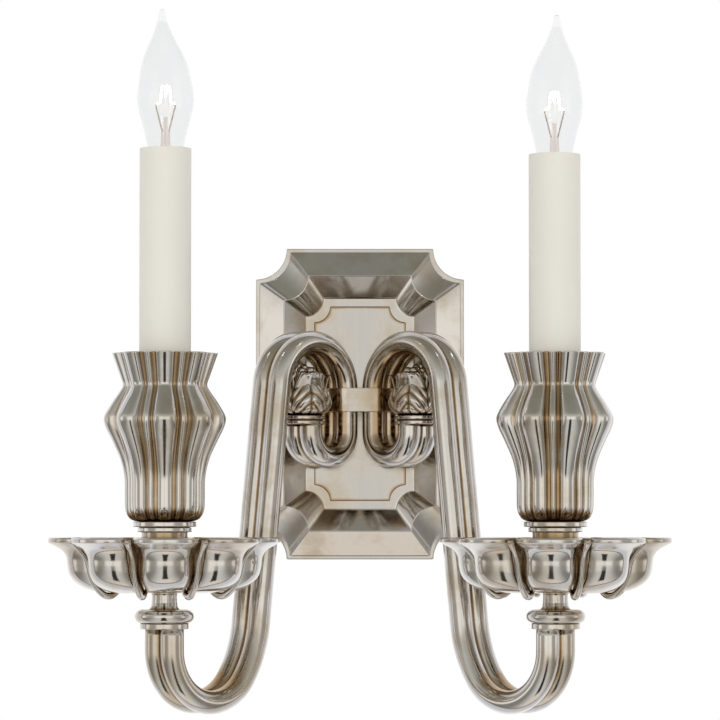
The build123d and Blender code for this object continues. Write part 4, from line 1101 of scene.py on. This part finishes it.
def make_world():
    """A studio by direction: bright at eye level, grey below, darker above and white behind."""
    room = Surround("studio")
    where = room.add("ShaderNodeTexCoord", {}, {}, "Generated")
    x, y, z = [room.add("ShaderNodeSeparateXYZ", {}, {"Vector": where}, axis) for axis in "XYZ"]
    # under eye level: grey, beige straight down, with a dark slot in front
    below = room.mix(room.spread(x * x, 0.02, 0.75), (0.70, 0.69, 0.66), (0.27, 0.26, 0.24))
    below = room.mix(room.spread(z, -0.98, -0.86, 1.0, 0.0), below, (0.84, 0.77, 0.69))
    slot = room.spread(x * x, 0.018, 0.034, 1.0, 0.0) * room.spread(z, -0.24, -0.12, 1.0, 0.0)
    slot = slot * room.spread(z, -0.95, -0.90)
    below = room.mix(slot, below, (0.035, 0.033, 0.03))
    above = room.mix(room.spread(z, 0.15, 0.92), (0.62, 0.61, 0.58), (0.27, 0.265, 0.23))
    away = room.mix(room.spread(z, 0.0, 0.10), below, above)
    # at eye level: white, greyer to the sides, with a thin dark seam in the middle
    flank = room.spread(x * x, 0.20, 0.50) * room.spread(x * x, 0.86, 0.97, 1.0, 0.0)
    eye = room.mix(flank, (0.99, 0.96, 0.90), (0.42, 0.40, 0.37))
    eye = room.mix(room.spread(x * x, 0.0, 0.0012, 0.40, 0.0), eye, (0.10, 0.10, 0.10))
    front = room.mix(room.spread(z * z, 0.008, 0.085, 1.0, 0.0), away, eye)
    # beside and behind: a dark gap, then an even pale grey
    studio = room.mix(room.spread(y, 0.05, 0.16), front, (0.70, 0.70, 0.74))
    gap = room.spread(y, 0.06, 0.09) * room.spread(y, 0.14, 0.20, 1.0, 0.0)
    studio = room.mix(gap * 0.8, studio, (0.10, 0.08, 0.06))
    behind = room.spread(y, 0.40, 0.80)
    seen, through, mirrored = [room.add("ShaderNodeLightPath", {}, {}, kind + " Ray")
                               for kind in ("Is Camera", "Is Transmission", "Is Glossy")]
    white = (seen + through + mirrored * behind).clamp()
    room.feed("Color", room.mix(white, studio, (1.0, 1.0, 1.0)))


def make_floor():
    """Plain pale floor well below the sconce."""
    half = 3.0
    height = CAD_BOX[0][2] - 0.25
    mesh = bpy.data.meshes.new("pale_floor")
    mesh.from_pydata([(-half, -half, height), (half, -half, height), (half, half, height),
                      (-half, half, height)], [], [(0, 1, 2, 3)])
    surface = Finish("pale_floor", Roughness=0.8)
    surface.paint(surface.noise(8.0), 0.3, 0.7, (0.80, 0.80, 0.80), (0.77, 0.77, 0.77))
    mesh.materials.append(surface.material)
    floor = bpy.data.objects.new("pale_floor", mesh)
    floor.visible_glossy = False
    bpy.context.scene.collection.objects.link(floor)


# ------------------------------------------------------------------ operators
class SCONCE_OT_stage(bpy.types.Operator):
    """Set the camera, the lamps, the surround and the floor"""
    bl_idname = "sconce.stage"
    bl_label = "Studio stage"

    def execute(self, context):
        bpy.context.scene.view_settings.view_transform = "Standard"
        make_camera()
        make_world()
        make_floor()
        soft_box("left_softbox", (-2.0, -1.7, 0.2), 1.8, 1.5, 24.0)
        soft_box("right_softbox", (2.0, -1.7, 0.2), 1.8, 1.5, 24.0)
        soft_box("top_softbox", (0.0, -0.9, 2.2), 1.8, 1.2, 14.0)
        return {"FINISHED"}


class SCONCE_OT_frame(bpy.types.Operator):
    """Give every kept node its finish"""
    bl_idname = "sconce.frame"
    bl_label = "Finishes of the frame"

    def execute(self, context):
        dress_frame()
        return {"FINISHED"}


class SCONCE_OT_backplate(bpy.types.Operator):
    """Build the scooped-corner backplate and the strap on it"""
    bl_idname = "sconce.backplate"
    bl_label = "Backplate and strap"

    def execute(self, context):
        make_backplate()
        make_strap()
        return {"FINISHED"}


class SCONCE_OT_arms(bpy.types.Operator):
    """Build the two double-tube arms"""
    bl_idname = "sconce.arms"
    bl_label = "Arms"

    def execute(self, context):
        for side in SIDES:
            make_arm(side)
        return {"FINISHED"}


class SCONCE_OT_buds(bpy.types.Operator):
    """Build the leafy buds and the rings under them"""
    bl_idname = "sconce.buds"
    bl_label = "Buds"

    def execute(self, context):
        for side in SIDES:
            make_bud_ring(side)
            make_bud(side)
        return {"FINISHED"}


class SCONCE_OT_candle_silver(bpy.types.Operator):
    """Build the silver pieces under each candle"""
    bl_idname = "sconce.candle_silver"
    bl_label = "Dishes, cups and turned pieces"

    def execute(self, context):
        for side in SIDES:
            make_turned_group(side)
            make_dish(side)
            make_cup(side)
        return {"FINISHED"}


class SCONCE_OT_lamps(bpy.types.Operator):
    """Build the sleeves and the flame lamps"""
    bl_idname = "sconce.lamps"
    bl_label = "Sleeves and lamps"

    def execute(self, context):
        for side in SIDES:
            make_sleeve(side)
            make_glass(side)
            make_filament(side)
        return {"FINISHED"}


class SCONCE_PT_panel(bpy.types.Panel):
    bl_idname = "SCONCE_PT_panel"
    bl_label = "Sconce"
    bl_space_type = "VIEW_3D"
    bl_region_type = "UI"
    bl_category = "Sconce"

    def draw(self, context):
        for group in (context.scene.sconce_sizes, context.scene.sconce_finishes):
            for name in group.__annotations__:
                self.layout.prop(group, name)
        for operator in OPERATORS:
            self.layout.operator(operator.bl_idname)


OPERATORS = (SCONCE_OT_stage, SCONCE_OT_frame, SCONCE_OT_backplate, SCONCE_OT_arms, SCONCE_OT_buds,
             SCONCE_OT_candle_silver, SCONCE_OT_lamps)
CLASSES = (SconceSizes, SconceFinishes, *OPERATORS, SCONCE_PT_panel)


def register():
    for cls in CLASSES:
        bpy.utils.register_class(cls)
    bpy.types.Scene.sconce_sizes = PointerProperty(type=SconceSizes)
    bpy.types.Scene.sconce_finishes = PointerProperty(type=SconceFinishes)


def unregister():
    del bpy.types.Scene.sconce_finishes
    del bpy.types.Scene.sconce_sizes
    for cls in reversed(CLASSES):
        bpy.utils.unregister_class(cls)


def main():
    register()
    bpy.ops.sconce.stage()
    bpy.ops.sconce.frame()
    bpy.ops.sconce.backplate()
    bpy.ops.sconce.arms()
    bpy.ops.sconce.buds()
    bpy.ops.sconce.candle_silver()
    bpy.ops.sconce.lamps()


if __name__ == "__main__":
    main()
